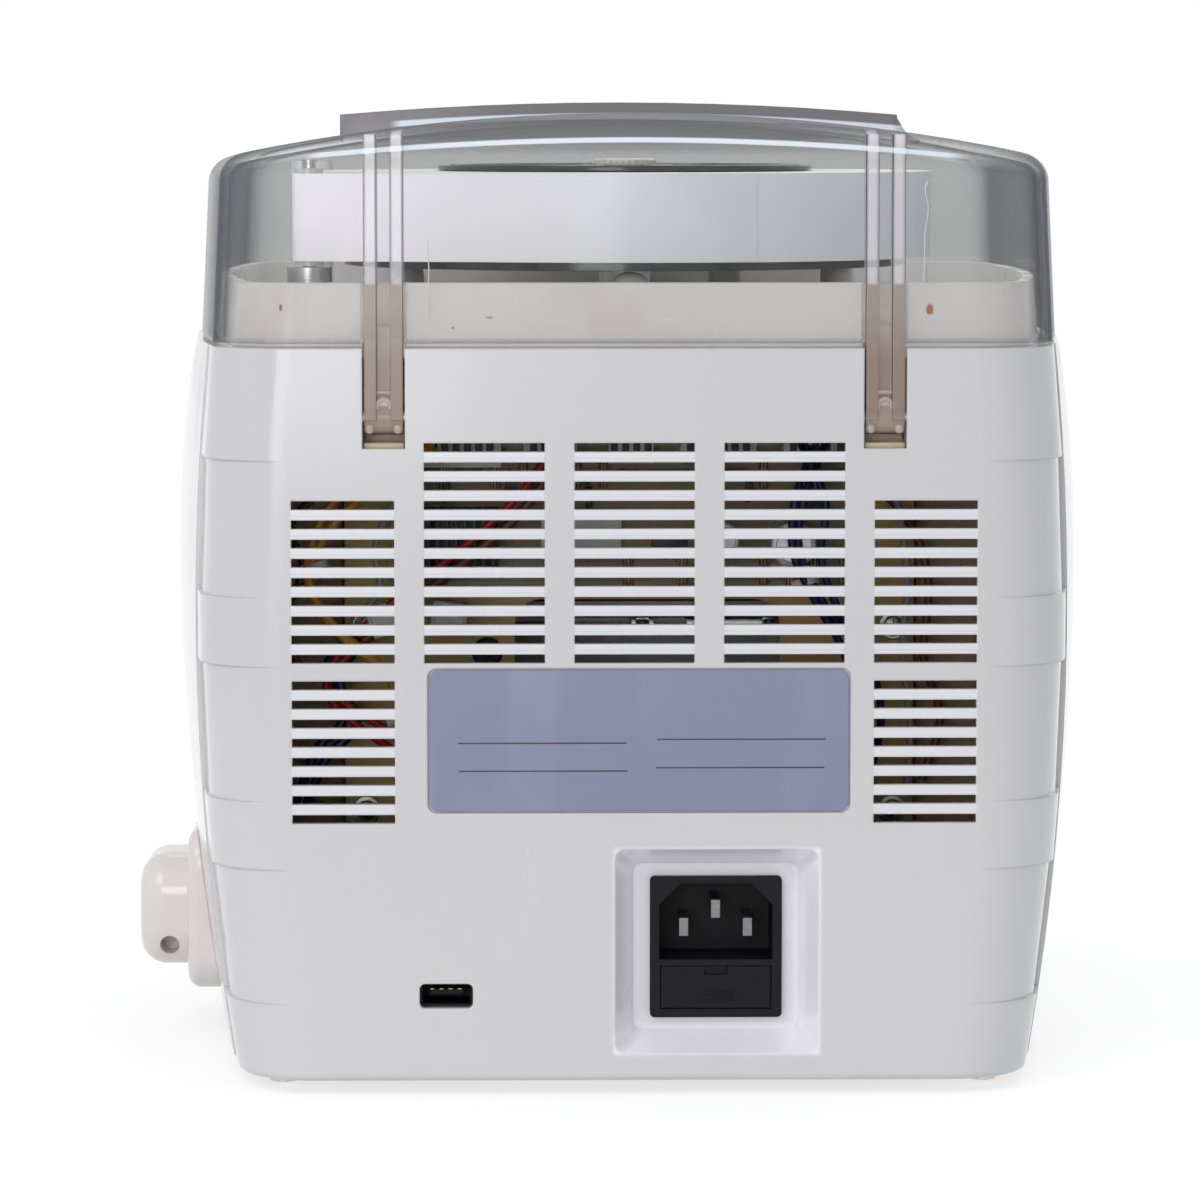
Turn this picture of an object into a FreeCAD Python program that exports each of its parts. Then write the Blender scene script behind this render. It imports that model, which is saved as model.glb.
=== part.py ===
import FreeCAD, Part
import Sketcher
import math
import os
import re

# Banknote strapping machine: a desktop machine that puts a heat-sealed paper band round a bundle.
# Millimetres. x runs across the machine, y from the front (minus) to the rear wall (plus), z up.

SIZES = {
    # the case in plan and in height
    "rear_y": 125, "seam_y": 100, "seam_gap": 0.4, "front_y": -104, "widest_y": 15,
    "foot_height": 3, "case_top_z": 163, "wall": 2.5, "flange": 12,
    "rear_corner": 18, "front_corner": 20, "bottom_edge": 1.6,
    # the rear shell: a bowed side with raised bands between six levels
    "band_peak_z": 102, "band_half_width": 94.5, "band_bow": 600, "band_rise": 0.8,
    "band_1_z": 19.9, "band_2_z": 49.6, "band_3_z": 64.5, "band_4_z": 94, "band_5_z": 109,
    "band_6_z": 138.7,
    # the front shell: its sides bulge past the rear shell
    "shell_step": 2, "bulge_out": 10.1, "bulge_z": 118, "bulge_bow_low": 600,
    "bulge_bow_high": 215, "slope_low_z": 140, "slope_angle": 31,
    # vents in the rear wall
    "vent_slot": 1.9, "vent_pitch": 4.17, "vent_low_z": 95.8, "vent_rows": 12, "vent_side_rows": 9,
    "vent_foot_z": 60.8, "vent_foot_rows": 8, "vent_mid_half": 13, "vent_near_x": 32.5,
    "vent_near_half": 13.05, "vent_far_x": 63.15, "vent_far_half": 11.15,
    # what sits in the rear wall
    "plate_x": -1, "plate_z": 77.9, "plate_width": 91, "plate_tall": 30.8, "plate_thick": 0.8,
    "plate_sunk": 0.7, "plate_corner": 2,
    "pocket_x": -18, "pocket_z": 31.6, "pocket_width": 44.4, "pocket_tall": 45, "pocket_deep": 8,
    "pocket_draft": 27, "pocket_corner": 5,
    "inlet_width": 28.9, "inlet_tall": 31.2, "inlet_rim": 1.6, "inlet_step": 0.9, "inlet_deep": 20,
    "socket_width": 24.8, "socket_tall": 16.8, "socket_deep": 15, "socket_up": 5.6,
    "socket_chamfer": 4.6, "pin_wide": 2, "pin_tall": 4, "pin_spacing": 14, "pin_long": 13,
    "fuse_width": 24.4, "fuse_tall": 9.6, "fuse_down": 9, "fuse_long": 17,
    "port_x": 41, "port_z": 21.9, "port_width": 11.6, "port_tall": 5.4, "port_deep": 12,
    # the deck tray and the clear cover
    "deck_inset": 4.6, "deck_top_z": 177, "deck_floor": 2.5, "deck_back": 119, "deck_front": -59,
    "cover_gap": 1, "cover_wall": 2, "cover_back": 122, "cover_front": -66.5, "cover_inset": 0.3,
    "cover_draft": 2.4, "crown_z": 213.6, "crown_radius": 425, "cover_edge": 6,
    "lip_half": 69.5, "lip_z": 216.6, "lip_thick": 3, "lip_deep": 9, "lip_bow": 800,
    "hinge_x": 54.2, "hinge_y": 120.3, "hinge_z": 148, "hinge_slot": 9.2, "hinge_arm": 8.4,
    "arm_rib": 2.7, "arm_rib_top_z": 209, "knuckle": 3.8, "hinge_pin": 1.5, "hinge_slot_z": 141.4,
    "ear": 2.4, "running": 0.05,
    # the reel of tape
    "reel_y": 19.5, "tape_width": 19.8, "tape_z": 180.5, "tape_radius": 72, "core_radius": 28,
    "core_wall": 3, "reel_disc": 66, "reel_disc_thick": 2, "reel_cap": 43.9, "reel_cap_thick": 1,
    "hub_radius": 24.9, "spindle": 6, "reel_knob": 7.1, "reel_knob_thick": 1.6,
    "stud_ring": 60, "stud": 4.1, "guide_x": 72, "guide_y": 75, "guide_radius": 3.2,
    "guide_pin": 1.5, "tape_thick": 0.3, "chute_y": -32,
    # the throat for the bundle
    "throat_half": 52, "throat_back": -36, "throat_top_z": 131, "table_z": 92, "table_thick": 1.5,
    "table_front": -125,
    "table_lip": 12, "liner": 2, "arch_y": -61, "arch_width": 22, "arch_deep": 10.4,
    "arch_sheet": 1.2, "arch_corner": 8, "guide_bar_x": 44, "guide_bar_travel": 24,
    # the chassis of folded sheet
    "sheet": 2, "chassis_half": 64.5, "chassis_back": 74, "chassis_front": -84,
    "chassis_top_z": 150, "base_thick": 2, "base_play": 0.3,
    # the sealing head and its camshaft
    "cam_z": 46, "cam_shaft": 3, "cam_radius": 11, "cam_rise": 4, "cam_wide": 6,
    "cutter_x": -13, "heater_x": 5, "press_x": 23, "block_low_z": 66, "block_top_z": 86,
    "head_top_z": 85, "slide_play": 0.2, "cam_play": 0.3, "motor_radius": 18, "motor_gap": 0.5,
    # the tape feed
    "feed_inset": 16.5, "feed_z": 72, "feed_radius": 8, "pinch_radius": 6, "nip": 0.35,
    "board_x": 1, "board_half": 53, "board_tall": 41, "board_thick": 1.6, "board_off": 6,
    "core_half": 27, "core_x": -19, "core_tall": 44, "core_deep": 30, "coil_half": 17, "coil_deep": 48,
    "feed_motor": 28, "feed_motor_long": 32, "roller_pin": 2.5,
    # controls
    "button_travel": 0.8, "button_play": 0.3, "button_half": 5.5, "button_low": 13, "button_high": 25,
    "display_x": -29, "display_half": 19, "display_low": 9, "display_high": 29, "facia_left": -56,
    "facia_right": 62, "facia_low": 4, "facia_high": 34, "facia_thick": 1.2, "window_play": 0.2,
    "window_rim": 1.5, "button_flange": 1.3, "rocker_x": -58, "rocker_z": 54,
    "rocker_width": 15, "rocker_tall": 21, "rocker_tilt": 8,
    # the housing on the side wall
    "hump_y": 40, "hump_z": 29.5, "hump_out": 8.4, "hump_tall": 26, "hump_long": 30,
    "hump_flange_tall": 37, "hump_flange_long": 42, "hump_hole": 2.2,
    # fasteners
    "screw": 1.5, "screw_head": 3, "screw_head_thick": 1.4, "boss": 6, "boss_tall": 16,
    "foot_x": 58, "foot_front": -78, "foot_back": 92, "foot_radius": 9,
}

# Left over when the side housing is counted: it puts the origin under the middle of the machine.
MIDDLE_X = "hump_out / 2"
WIDEST = "(band_half_width + bulge_out)"

doc = FreeCAD.newDocument("StrappingMachine")
sheet = doc.addObject("Spreadsheet::Sheet", "Sizes")
for row, (alias, value) in enumerate(SIZES.items(), 1):
    sheet.set("A%d" % row, alias)
    sheet.set("B%d" % row, str(value))
    sheet.setAlias("B%d" % row, alias)
doc.recompute()
sub_parts = []


# ---- drawing with the sheet's names ---------------------------------------------------------

def on_sheet(text):
    """An expression in plain names, with each name pointed at the sheet."""
    return re.sub(r"[a-z]\w*", lambda word: "Sizes." + word.group() if word.group() in SIZES
                  else word.group(), str(text))


def bind(thing, **texts):
    """Tie properties of an object to the sheet."""
    for name, text in texts.items():
        thing.setExpression(name, on_sheet(text))
    return thing


def put(thing, x, y, z):
    """Tie an object's place to the sheet."""
    for axis, text in zip("xyz", (x, y, z)):
        thing.setExpression("Placement.Base." + axis, on_sheet(text))
    return thing


def block(name, x, y, z):
    """A box between three (low, high) pairs."""
    box = doc.addObject("Part::Box", name)
    bind(box, Length="(%s) - (%s)" % (x[1], x[0]), Width="(%s) - (%s)" % (y[1], y[0]),
         Height="(%s) - (%s)" % (z[1], z[0]))
    return put(box, x[0], y[0], z[0])


AXES = {"x": FreeCAD.Vector(1, 0, 0), "y": FreeCAD.Vector(0, 1, 0), "z": FreeCAD.Vector(0, 0, 1)}


def turned(axis):
    """The rotation that lays a cylinder's axis along x, y or z."""
    return FreeCAD.Placement(FreeCAD.Vector(), FreeCAD.Rotation(AXES["z"], AXES[axis]))


def rod(name, axis, x, y, z, radius, length):
    """A cylinder from the point x, y, z along one axis."""
    cylinder = doc.addObject("Part::Cylinder", name)
    cylinder.Placement = turned(axis)
    bind(cylinder, Radius=radius, Height=length)
    return put(cylinder, x, y, z)


def cone(name, axis, x, y, z, radius, end_radius, length):
    """A cone from the point x, y, z along one axis."""
    taper = doc.addObject("Part::Cone", name)
    taper.Placement = turned(axis)
    bind(taper, Radius1=radius, Radius2=end_radius, Height=length)
    return put(taper, x, y, z)


def fuse(name, *shapes):
    union = doc.addObject("Part::MultiFuse", name)
    union.Shapes = list(shapes)
    return union


def cut(name, base, *tools):
    difference = doc.addObject("Part::Cut", name)
    difference.Base = base
    difference.Tool = tools[0] if len(tools) == 1 else fuse(name + "_tools", *tools)
    return difference


def group(name, *shapes):
    """Like pieces that share one node, each its own solid."""
    compound = doc.addObject("Part::Compound", name)
    compound.Links = list(shapes)
    return compound


def made(name, shape):
    """A form that sketches and primitives don't give, such as a bowed shell."""
    feature = doc.addObject("Part::Feature", name)
    feature.Shape = shape
    return feature


def prism(name, plane, points, low, high, corner=None, pick=None):
    """A body: an outline of points on an origin plane, padded from low to high, edges rounded."""
    body = doc.addObject("PartDesign::Body", name)
    outline = body.newObject("Sketcher::SketchObject", name + "_outline")
    outline.AttachmentSupport = ([f for f in body.Origin.OriginFeatures if f.Role == plane + "_Plane"][0],
                                 [""])
    outline.MapMode = "FlatFace"
    count = len(points)
    ring = [FreeCAD.Vector(math.cos(2 * math.pi * k / count), math.sin(2 * math.pi * k / count), 0)
            for k in range(count)]
    for k in range(count):
        outline.addGeometry(Part.LineSegment(ring[k], ring[(k + 1) % count]), False)
    for k in range(count):
        outline.addConstraint(Sketcher.Constraint("Coincident", k, 2, (k + 1) % count, 1))
    for k, point in enumerate(points):
        for kind, start, text in (("DistanceX", ring[k].x, point[0]), ("DistanceY", ring[k].y, point[1])):
            number = outline.addConstraint(Sketcher.Constraint(kind, -1, 1, k, 1, start))
            outline.setExpression("Constraints[%d]" % number, on_sheet(text))
    offset = "-(%s)" % high if plane == "XZ" else low
    outline.setExpression("AttachmentOffset.Base.z", on_sheet(offset))
    pad = body.newObject("PartDesign::Pad", name + "_pad")
    pad.Profile = outline
    bind(pad, Length="(%s) - (%s)" % (high, low))
    if corner:
        round_body(body, corner, pick or along({"XY": "z", "XZ": "y", "YZ": "x"}[plane]))
    return body


def along(axis):
    """Chooses the straight edges that run along one axis."""
    way = AXES[axis]
    return lambda edge: isinstance(edge.Curve, Part.Line) and abs(edge.Curve.Direction.dot(way)) > 0.999


def numbered(shape, pick):
    return [k for k, edge in enumerate(shape.Edges, 1) if pick(edge)]


def round_body(body, radius, pick):
    """Fillet the edges of a body that pick chooses."""
    doc.recompute()
    base = body.Tip
    fillet = body.newObject("PartDesign::Fillet", body.Name + "_round")
    fillet.Base = (base, ["Edge%d" % k for k in numbered(base.Shape, pick)])
    bind(fillet, Radius=radius)
    return body


def rounded(name, base, radius, pick):
    """Fillet the edges of a combined shape that pick chooses."""
    doc.recompute()
    fillet = doc.addObject("Part::Fillet", name)
    fillet.Base = base
    fillet.Edges = [(k, radius, radius) for k in numbered(base.Shape, pick)]
    return fillet


def plate(name, plane, u, v, low, high, corner=None):
    """A rectangle padded from low to high, its corners rounded."""
    return prism(name, plane, [(u[0], v[0]), (u[1], v[0]), (u[1], v[1]), (u[0], v[1])], low, high, corner)


def node(label, thing):
    """Name a sub-part and shift it so that the origin is under the middle of the machine."""
    own = [text for path, text in thing.ExpressionEngine if path.endswith("Placement.Base.x")]
    thing.setExpression("Placement.Base.x", "(%s) - (%s)" % (own[0] if own else "0", on_sheet(MIDDLE_X)))
    thing.Label = label
    sub_parts.append(thing)
    return thing


def around(centre, half):
    """The (low, high) pair of a centre and a half width."""
    return "%s - (%s)" % (centre, half), "%s + %s" % (centre, half)


# ---- the bowed case -------------------------------------------------------------------------

def band_half(z):
    """Half the width of the rear shell between its bands, at height z."""
    return sheet.band_half_width - (z - sheet.band_peak_z) ** 2 / (2 * sheet.band_bow)


def bulge_half(z):
    """Half the width of the front shell where it is widest, at height z."""
    bow = sheet.bulge_bow_high if z > sheet.bulge_z else sheet.bulge_bow_low
    return (sheet.band_half_width + sheet.bulge_out) - (z - sheet.bulge_z) ** 2 / (2 * bow)


def mirrored(points):
    """The points of the other side, in the order that carries the outline on."""
    return [FreeCAD.Vector(-p.x, p.y, p.z) for p in reversed(points)]


def wire_of(edges):
    return Part.Wire([edge.toShape() for edge in edges])


def rear_outline(z, rise, inset, seam):
    """The rear shell in plan: a flat back, two round corners, two short sides that flare forward."""
    half = band_half(z) + rise - inset
    back = sheet.rear_y - inset
    radius = sheet.rear_corner - inset
    lean = math.sqrt(0.5) * radius
    side = [FreeCAD.Vector(half + 1, seam, z), FreeCAD.Vector(half, back - radius, z),
            FreeCAD.Vector(half - radius + lean, back - radius + lean, z),
            FreeCAD.Vector(half - radius, back, z)]
    far = mirrored(side)
    return wire_of([Part.LineSegment(side[0], side[1]), Part.Arc(side[1], side[2], side[3]),
                    Part.LineSegment(side[3], far[0]), Part.Arc(far[0], far[1], far[2]),
                    Part.LineSegment(far[2], far[3]), Part.LineSegment(far[3], side[0])])


def side_circle(half_seam, half_widest):
    """Centre x and radius of the bowed side that is widest at widest_y and passes the seam."""
    swell = half_widest - half_seam
    run = sheet.seam_y - sheet.widest_y
    radius = (swell ** 2 + run ** 2) / (2 * swell)
    return half_widest - radius, radius


def end_corner(centre_x, radius, corner, end_y, facing):
    """The tangent corner from a bowed side to a flat end: three points, side first."""
    y = end_y - facing * corner
    x = centre_x + math.sqrt((radius - corner) ** 2 - (y - sheet.widest_y) ** 2)
    centre = FreeCAD.Vector(x, y, 0)
    side_angle = math.atan2(y - sheet.widest_y, x - centre_x)
    middle_angle = (side_angle + facing * math.pi / 2) / 2
    return [centre + FreeCAD.Vector(math.cos(angle), math.sin(angle), 0) * corner
            for angle in (side_angle, middle_angle, facing * math.pi / 2)]


def bowed_outline(z, half_seam, half_widest, front, front_corner, back, back_corner, inset=0):
    """A closed outline with bowed sides. With no back corner it ends square at the seam."""
    centre_x, radius = side_circle(half_seam, half_widest)
    radius -= inset
    nose = end_corner(centre_x, radius, front_corner - inset, front + inset, -1)
    apex = FreeCAD.Vector(centre_x + radius, sheet.widest_y, 0)
    if back_corner:
        tail = end_corner(centre_x, radius, back_corner - inset, back - inset, 1)
    else:
        tail = [FreeCAD.Vector(centre_x + math.sqrt(radius ** 2 - (back - sheet.widest_y) ** 2), back, 0)]
    lift = FreeCAD.Vector(0, 0, z)
    nose, apex, tail = [p + lift for p in nose], apex + lift, [p + lift for p in tail]
    far_nose, far_apex, far_tail = mirrored(nose), mirrored([apex])[0], mirrored(tail)
    edges = [Part.LineSegment(far_nose[0], nose[2]), Part.Arc(nose[2], nose[1], nose[0]),
             Part.Arc(nose[0], apex, tail[0])]
    if back_corner:
        edges += [Part.Arc(tail[0], tail[1], tail[2]), Part.LineSegment(tail[2], far_tail[0]),
                  Part.Arc(far_tail[0], far_tail[1], far_tail[2])]
    else:
        edges += [Part.LineSegment(tail[0], far_tail[0])]
    edges += [Part.Arc(far_tail[-1], far_apex, far_nose[2]),
              Part.Arc(far_nose[2], far_nose[1], far_nose[0])]
    return wire_of(edges)


def front_outline(z, inset, seam):
    return bowed_outline(z, band_half(z) + sheet.shell_step, bulge_half(z), sheet.front_y,
                         sheet.front_corner, seam, 0, inset)


def low_edges(shape, z, skip_y):
    """The lowest edges of a shell, without the one along the seam."""
    return [edge for edge in shape.Edges if abs(edge.BoundBox.ZMax - z) < 0.01
            and not (abs(edge.BoundBox.YMin - skip_y) < 0.01 and edge.BoundBox.YLength < 0.01)]


def rear_skin():
    """The outside of the rear shell: seven ruled bands, every other one raised."""
    levels = [sheet.foot_height, sheet.band_1_z, sheet.band_2_z, sheet.band_3_z, sheet.band_4_z,
              sheet.band_5_z, sheet.band_6_z, sheet.case_top_z]
    bands = []
    for k in range(len(levels) - 1):
        rise = 0 if k % 2 else sheet.band_rise
        rings = [rear_outline(z, rise, 0, sheet.seam_y) for z in levels[k:k + 2]]
        band = Part.makeLoft(rings, True, True)
        if k == 0:
            band = band.makeFillet(sheet.bottom_edge, low_edges(band, levels[0], sheet.seam_y))
        bands.append(band)
    return bands[0].multiFuse(bands[1:])


def front_levels(low, top):
    run = sheet.bulge_z - low
    return [low, low + 0.32 * run, low + 0.66 * run, sheet.bulge_z, (sheet.bulge_z + top) / 2, top]


def rear_core():
    """The hollow of the rear shell."""
    top = sheet.case_top_z - sheet.wall
    heights = [sheet.foot_height - 1, sheet.band_2_z, sheet.band_peak_z, sheet.band_6_z, top]
    return Part.makeLoft([rear_outline(z, 0, sheet.wall, sheet.seam_y - 1) for z in heights], True, True)


rear_outer = made("rear_outer", rear_skin())
rear_inner = made("rear_inner", rear_core())
front_seam = sheet.seam_y - sheet.seam_gap
foot = sheet.foot_height
front_edge = Part.makeLoft([front_outline(foot, sheet.bottom_edge, front_seam),
                            front_outline(foot + sheet.bottom_edge, 0, front_seam)], True, True)
front_side = Part.makeLoft([front_outline(z, 0, front_seam) for z in
                            front_levels(foot + sheet.bottom_edge, sheet.case_top_z)], True, False)
front_outer = made("front_outer", front_side.fuse(front_edge))
front_inner = made("front_inner", Part.makeLoft([front_outline(z, sheet.wall, sheet.seam_y + 1) for z in
                                                 front_levels(foot, sheet.case_top_z - sheet.wall)], True,
                                                False))
floor_cut = block("floor_cut", ("-" + WIDEST, WIDEST), ("front_y", "rear_y"),
                  ("foot_height - 5", "foot_height"))
deck_hole = plate("deck_hole", "XY", ("flange - band_half_width + 4", "band_half_width - flange - 4"),
                  ("deck_front + 8", "rear_y - flange - 2"), "case_top_z - 9", "case_top_z + 9", "8")
slope_run = "(case_top_z - slope_low_z) / tan(slope_angle)"


def on_slope(along_it, above):
    """The (y, z) of a point on the sloping front, from how far up the slope and how far above it."""
    return ("front_y + (%s) * cos(slope_angle) - (%s) * sin(slope_angle)" % (along_it, above),
            "slope_low_z + (%s) * sin(slope_angle) + (%s) * cos(slope_angle)" % (along_it, above))


def slope_plate(name, x, up, above):
    """A plate that lies on the sloping front, between pairs across, up the slope and above it."""
    corners = [on_slope(up[0], above[0]), on_slope(up[1], above[0]), on_slope(up[1], above[1]),
               on_slope(up[0], above[1])]
    return prism(name, "YZ", corners, x[0], x[1])


def wedge(name, sunk):
    """All that lies over the sloping front, sunk below it by a thickness."""
    drop = "(%s) / cos(slope_angle)" % sunk
    return prism(name, "YZ", [("front_y - 9", "slope_low_z - 9 * tan(slope_angle) - %s" % drop),
                              ("front_y + %s" % slope_run, "case_top_z - %s" % drop),
                              ("front_y + %s" % slope_run, "case_top_z + 9"),
                              ("front_y - 9", "case_top_z + 9")], "-%s - 9" % WIDEST, WIDEST + " + 9")


# ---- the rear shell -------------------------------------------------------------------------

def slot_stack(name, x, half, low_z, rows):
    """One column of vent slots: a slot and its copies up the wall."""
    slots = plate(name, "XZ", around(x, half), around(low_z, "vent_slot / 2"), "rear_y - wall - 3",
                  "rear_y + 3")
    pattern = slots.newObject("PartDesign::LinearPattern", name + "_rows")
    pattern.Originals = [slots.Tip]
    pattern.Direction = ([f for f in slots.Origin.OriginFeatures if f.Role == "XY_Plane"][0], [""])
    pattern.Mode = "Spacing"
    bind(pattern, Offset="vent_pitch", Occurrences=rows)
    slots.Tip = pattern
    return slots


def screw_boss(name, x, y, low_z="foot_height + base_thick"):
    """A round post in a corner of a shell for a case screw."""
    post = rod(name, "z", x, y, low_z, "boss", "boss_tall")
    return post, rod(name + "_hole", "z", x, y, "foot_height", "screw + 0.1", "boss_tall - 1")


REAR_BOSS = ("band_half_width - 17.5", "rear_y - 11")
FRONT_BOSS = ("band_half_width - 19", "front_y + 11")

vents = [slot_stack("vents_middle", "0", "vent_mid_half", "vent_low_z", "vent_rows")]
for side, sign in (("left", ""), ("right", "-")):
    near, far = sign + "vent_near_x", sign + "vent_far_x"
    vents += [slot_stack("vents_near_" + side, near, "vent_near_half", "vent_low_z", "vent_rows"),
              slot_stack("vents_far_" + side, far, "vent_far_half", "vent_low_z", "vent_side_rows"),
              slot_stack("vents_foot_" + side, far, "vent_far_half", "vent_foot_z", "vent_foot_rows")]

plate_recess = plate("plate_recess", "XZ", around("plate_x", "plate_width / 2 + 0.4"),
                     around("plate_z", "plate_tall / 2 + 0.4"), "rear_y - plate_sunk", "rear_y + 3",
                     "plate_corner")
pocket_box = plate("pocket_box", "XZ", around("pocket_x", "pocket_width / 2 + wall"),
                   around("pocket_z", "pocket_tall / 2 + wall"), "rear_y - pocket_deep - wall",
                   "rear_y - 1",
                   "pocket_corner")
pocket = plate("pocket", "XZ", around("pocket_x", "pocket_width / 2"),
               around("pocket_z", "pocket_tall / 2"),
               "rear_y - pocket_deep", "rear_y")
pocket.Tip.setExpression("TaperAngle", on_sheet("-pocket_draft"))
round_body(pocket, "pocket_corner / 2", lambda edge: edge.BoundBox.YLength > 1)
inlet_hole = block("inlet_hole", around("pocket_x", "inlet_width / 2 - inlet_step + 0.2"),
                   ("rear_y - pocket_deep - wall - 9", "rear_y"),
                   around("pocket_z", "inlet_tall / 2 - inlet_step + 0.2"))
port_hole = plate("port_hole", "XZ", around("port_x", "port_width / 2"), around("port_z", "port_tall / 2"),
                  "rear_y - wall - 3", "rear_y + 3", "1.2")

SIDES = (("left", ""), ("right", "-"))
hinge_slots, ears, ear_holes = [], [], []
for side, sign in SIDES:
    middle = sign + "hinge_x"
    hinge_slots.append(block("hinge_slot_" + side, around(middle, "hinge_slot / 2"),
                             ("hinge_y - knuckle - 3", "rear_y + 3"), ("hinge_slot_z", "deck_top_z + 3")))
    for edge, way in (("outer", "hinge_slot / 2"), ("inner", "-hinge_slot / 2 - ear")):
        ears.append(block("ear_%s_%s" % (side, edge), ("%s + %s" % (middle, way),
                                                       "%s + %s + ear" % (middle, way)),
                          ("hinge_y - knuckle - 1", "rear_y - 1"), ("hinge_slot_z", "case_top_z - 1")))
    ear_holes.append(rod("ear_hole_" + side, "x", "%s - hinge_slot" % middle, "hinge_y", "hinge_z",
                         "hinge_pin + running", "2 * hinge_slot"))

rear_bosses = [screw_boss("rear_boss_" + side, sign + "(%s)" % REAR_BOSS[0], REAR_BOSS[1])
               for side, sign in SIDES]
rear_shell = cut("rear_shell", rear_outer, rear_inner)
rear_solid = fuse("rear_solid", rear_shell, pocket_box, *ears, *[post for post, hole in rear_bosses])
rear_cover = cut("rear_cover", rear_solid, floor_cut, deck_hole, *vents, plate_recess, pocket, inlet_hole,
                 port_hole, *hinge_slots, *ear_holes, *[hole for post, hole in rear_bosses])
node("rear_cover", rear_cover)

node("rating_plate", plate("plate_blank", "XZ", around("plate_x", "plate_width / 2"),
                           around("plate_z", "plate_tall / 2"), "rear_y - plate_sunk",
                           "rear_y - plate_sunk + plate_thick", "plate_corner"))

# ---- the front shell ------------------------------------------------------------------------

front_bosses = [screw_boss("front_boss_" + side, sign + "(%s)" % FRONT_BOSS[0], FRONT_BOSS[1])
                for side, sign in SIDES]
front_skin = cut("front_skin", front_outer, wedge("slope_outer", "0"))
front_core = cut("front_core", front_inner, wedge("slope_inner", "wall"))
front_shell = cut("front_shell", front_skin, front_core)
throat_mouth = plate("throat_mouth", "XZ", around("0", "throat_half + liner + 0.2"),
                     ("table_z - 0.2", "throat_top_z + 0.2"), "front_y - 3", "front_y + wall + 9")
DISPLAY_X = around("display_x", "display_half")
panel_holes = [slope_plate("display_hole", DISPLAY_X, ("display_low", "display_high"), ("-wall - 3", "3"))]
BUTTONS = (("feed", "6"), ("band", "21"), ("mode", "36"), ("stop", "51"))
for name, x in BUTTONS:
    panel_holes.append(slope_plate("button_hole_" + name, around(x, "button_half + button_play"),
                                   ("button_low - button_play", "button_high + button_play"),
                                   ("-wall - 3", "3")))
rocker_hole = block("rocker_hole", around("rocker_x", "rocker_width / 2 - 1"),
                    ("front_y - 3", "front_y + wall + 3"),
                    around("rocker_z", "rocker_tall / 2 - 1"))
front_solid = fuse("front_solid", front_shell, *[post for post, hole in front_bosses])
front_cover = cut("front_cover", front_solid, floor_cut, deck_hole, throat_mouth, *panel_holes, rocker_hole,
                  *[hole for post, hole in front_bosses])
node("front_cover", front_cover)

# ---- the deck tray, which closes the case under the reel ------------------------------------

def deck_ring(z, inset):
    """The deck tray in plan at height z; its rim draws in as it rises."""
    shrink = sheet.deck_inset + 0.08 * (z - sheet.case_top_z)
    top = sheet.case_top_z
    return bowed_outline(z, band_half(top) + sheet.shell_step - shrink, bulge_half(top) - shrink,
                         sheet.deck_front, sheet.front_corner, sheet.deck_back,
                         sheet.rear_corner - sheet.deck_inset, inset)


def tray_loft(low, high, inset):
    return Part.makeLoft([deck_ring(low, inset), deck_ring(high, inset)], True, True)


deck_outer = made("deck_outer", tray_loft(sheet.case_top_z, sheet.deck_top_z, 0))
deck_inner = made("deck_inner", tray_loft(sheet.case_top_z + sheet.deck_floor, sheet.deck_top_z + 2,
                                          sheet.wall))
spindle_hole = rod("spindle_hole", "z", "0", "reel_y", "case_top_z - 1", "17.5", "deck_floor + 2")
deck_z = "case_top_z + deck_floor"
studs = []
for k in range(3):
    bearing = "%d" % (90 + 120 * k)
    x = "stud_ring * cos(%s)" % bearing
    y = "reel_y + stud_ring * sin(%s)" % bearing
    stem = rod("stud_%d" % (k + 1), "z", x, y, deck_z, "stud",
               "tape_z - reel_disc_thick - (%s) - cam_play" % deck_z)
    top = (sheet.tape_z - sheet.reel_disc_thick - sheet.cam_play)
    studs.append(rounded("stud_round_%d" % (k + 1), stem, sheet.stud * 0.8,
                         lambda edge: edge.BoundBox.ZMin > top - 1 and edge.BoundBox.XLength > 1))
sensor_block = plate("sensor_block", "XY", around("-26", "4"), ("reel_y - 68", "reel_y - 56"),
                     deck_z + " - 0.5",
                     "deck_top_z - 1", "1")
top_deck = fuse("top_deck", cut("deck_tray", deck_outer, deck_inner, spindle_hole, *hinge_slots),
                sensor_block,
                *studs)
node("top_deck", top_deck)

# ---- the clear cover ------------------------------------------------------------------------

def cover_ring(z, inset):
    """The clear cover in plan at height z; it draws in towards the top."""
    base = sheet.case_top_z + sheet.cover_gap
    shrink = sheet.cover_inset + sheet.cover_draft * (z - base) / (sheet.crown_z - base)
    top = sheet.case_top_z
    return bowed_outline(z, band_half(top) + sheet.shell_step - shrink, bulge_half(top) - shrink - 1,
                         sheet.cover_front + shrink, sheet.front_corner - 2, sheet.cover_back - shrink / 2,
                         sheet.rear_corner - 4, inset)


def vault(radius, top_z):
    """A long cylinder along y whose highest line is at top_z, its seam turned out of the way."""
    start = sheet.cover_front - 30
    centre = FreeCAD.Vector(0, start, top_z - radius)
    roof = Part.makeCylinder(radius, sheet.cover_back - start + 30, centre, AXES["y"])
    roof.rotate(centre, AXES["y"], 90)
    return roof


def crowned(low, inset):
    """The cover's block from a low level up to the crown, its upper edge rounded."""
    high = sheet.crown_z + 3
    blank = Part.makeLoft([cover_ring(low, inset), cover_ring(high, inset)], True, True)
    body = blank.common(vault(sheet.crown_radius - inset, sheet.crown_z - inset))
    roof_edges = [edge for edge in body.Edges if edge.BoundBox.ZMin > sheet.crown_z - 30]
    return body.makeFillet(sheet.cover_edge - inset, roof_edges)


cover_base = sheet.case_top_z + sheet.cover_gap
cover_outer = made("cover_outer", crowned(cover_base, 0))
cover_inner = made("cover_inner", crowned(cover_base - 3, sheet.cover_wall))


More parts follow.
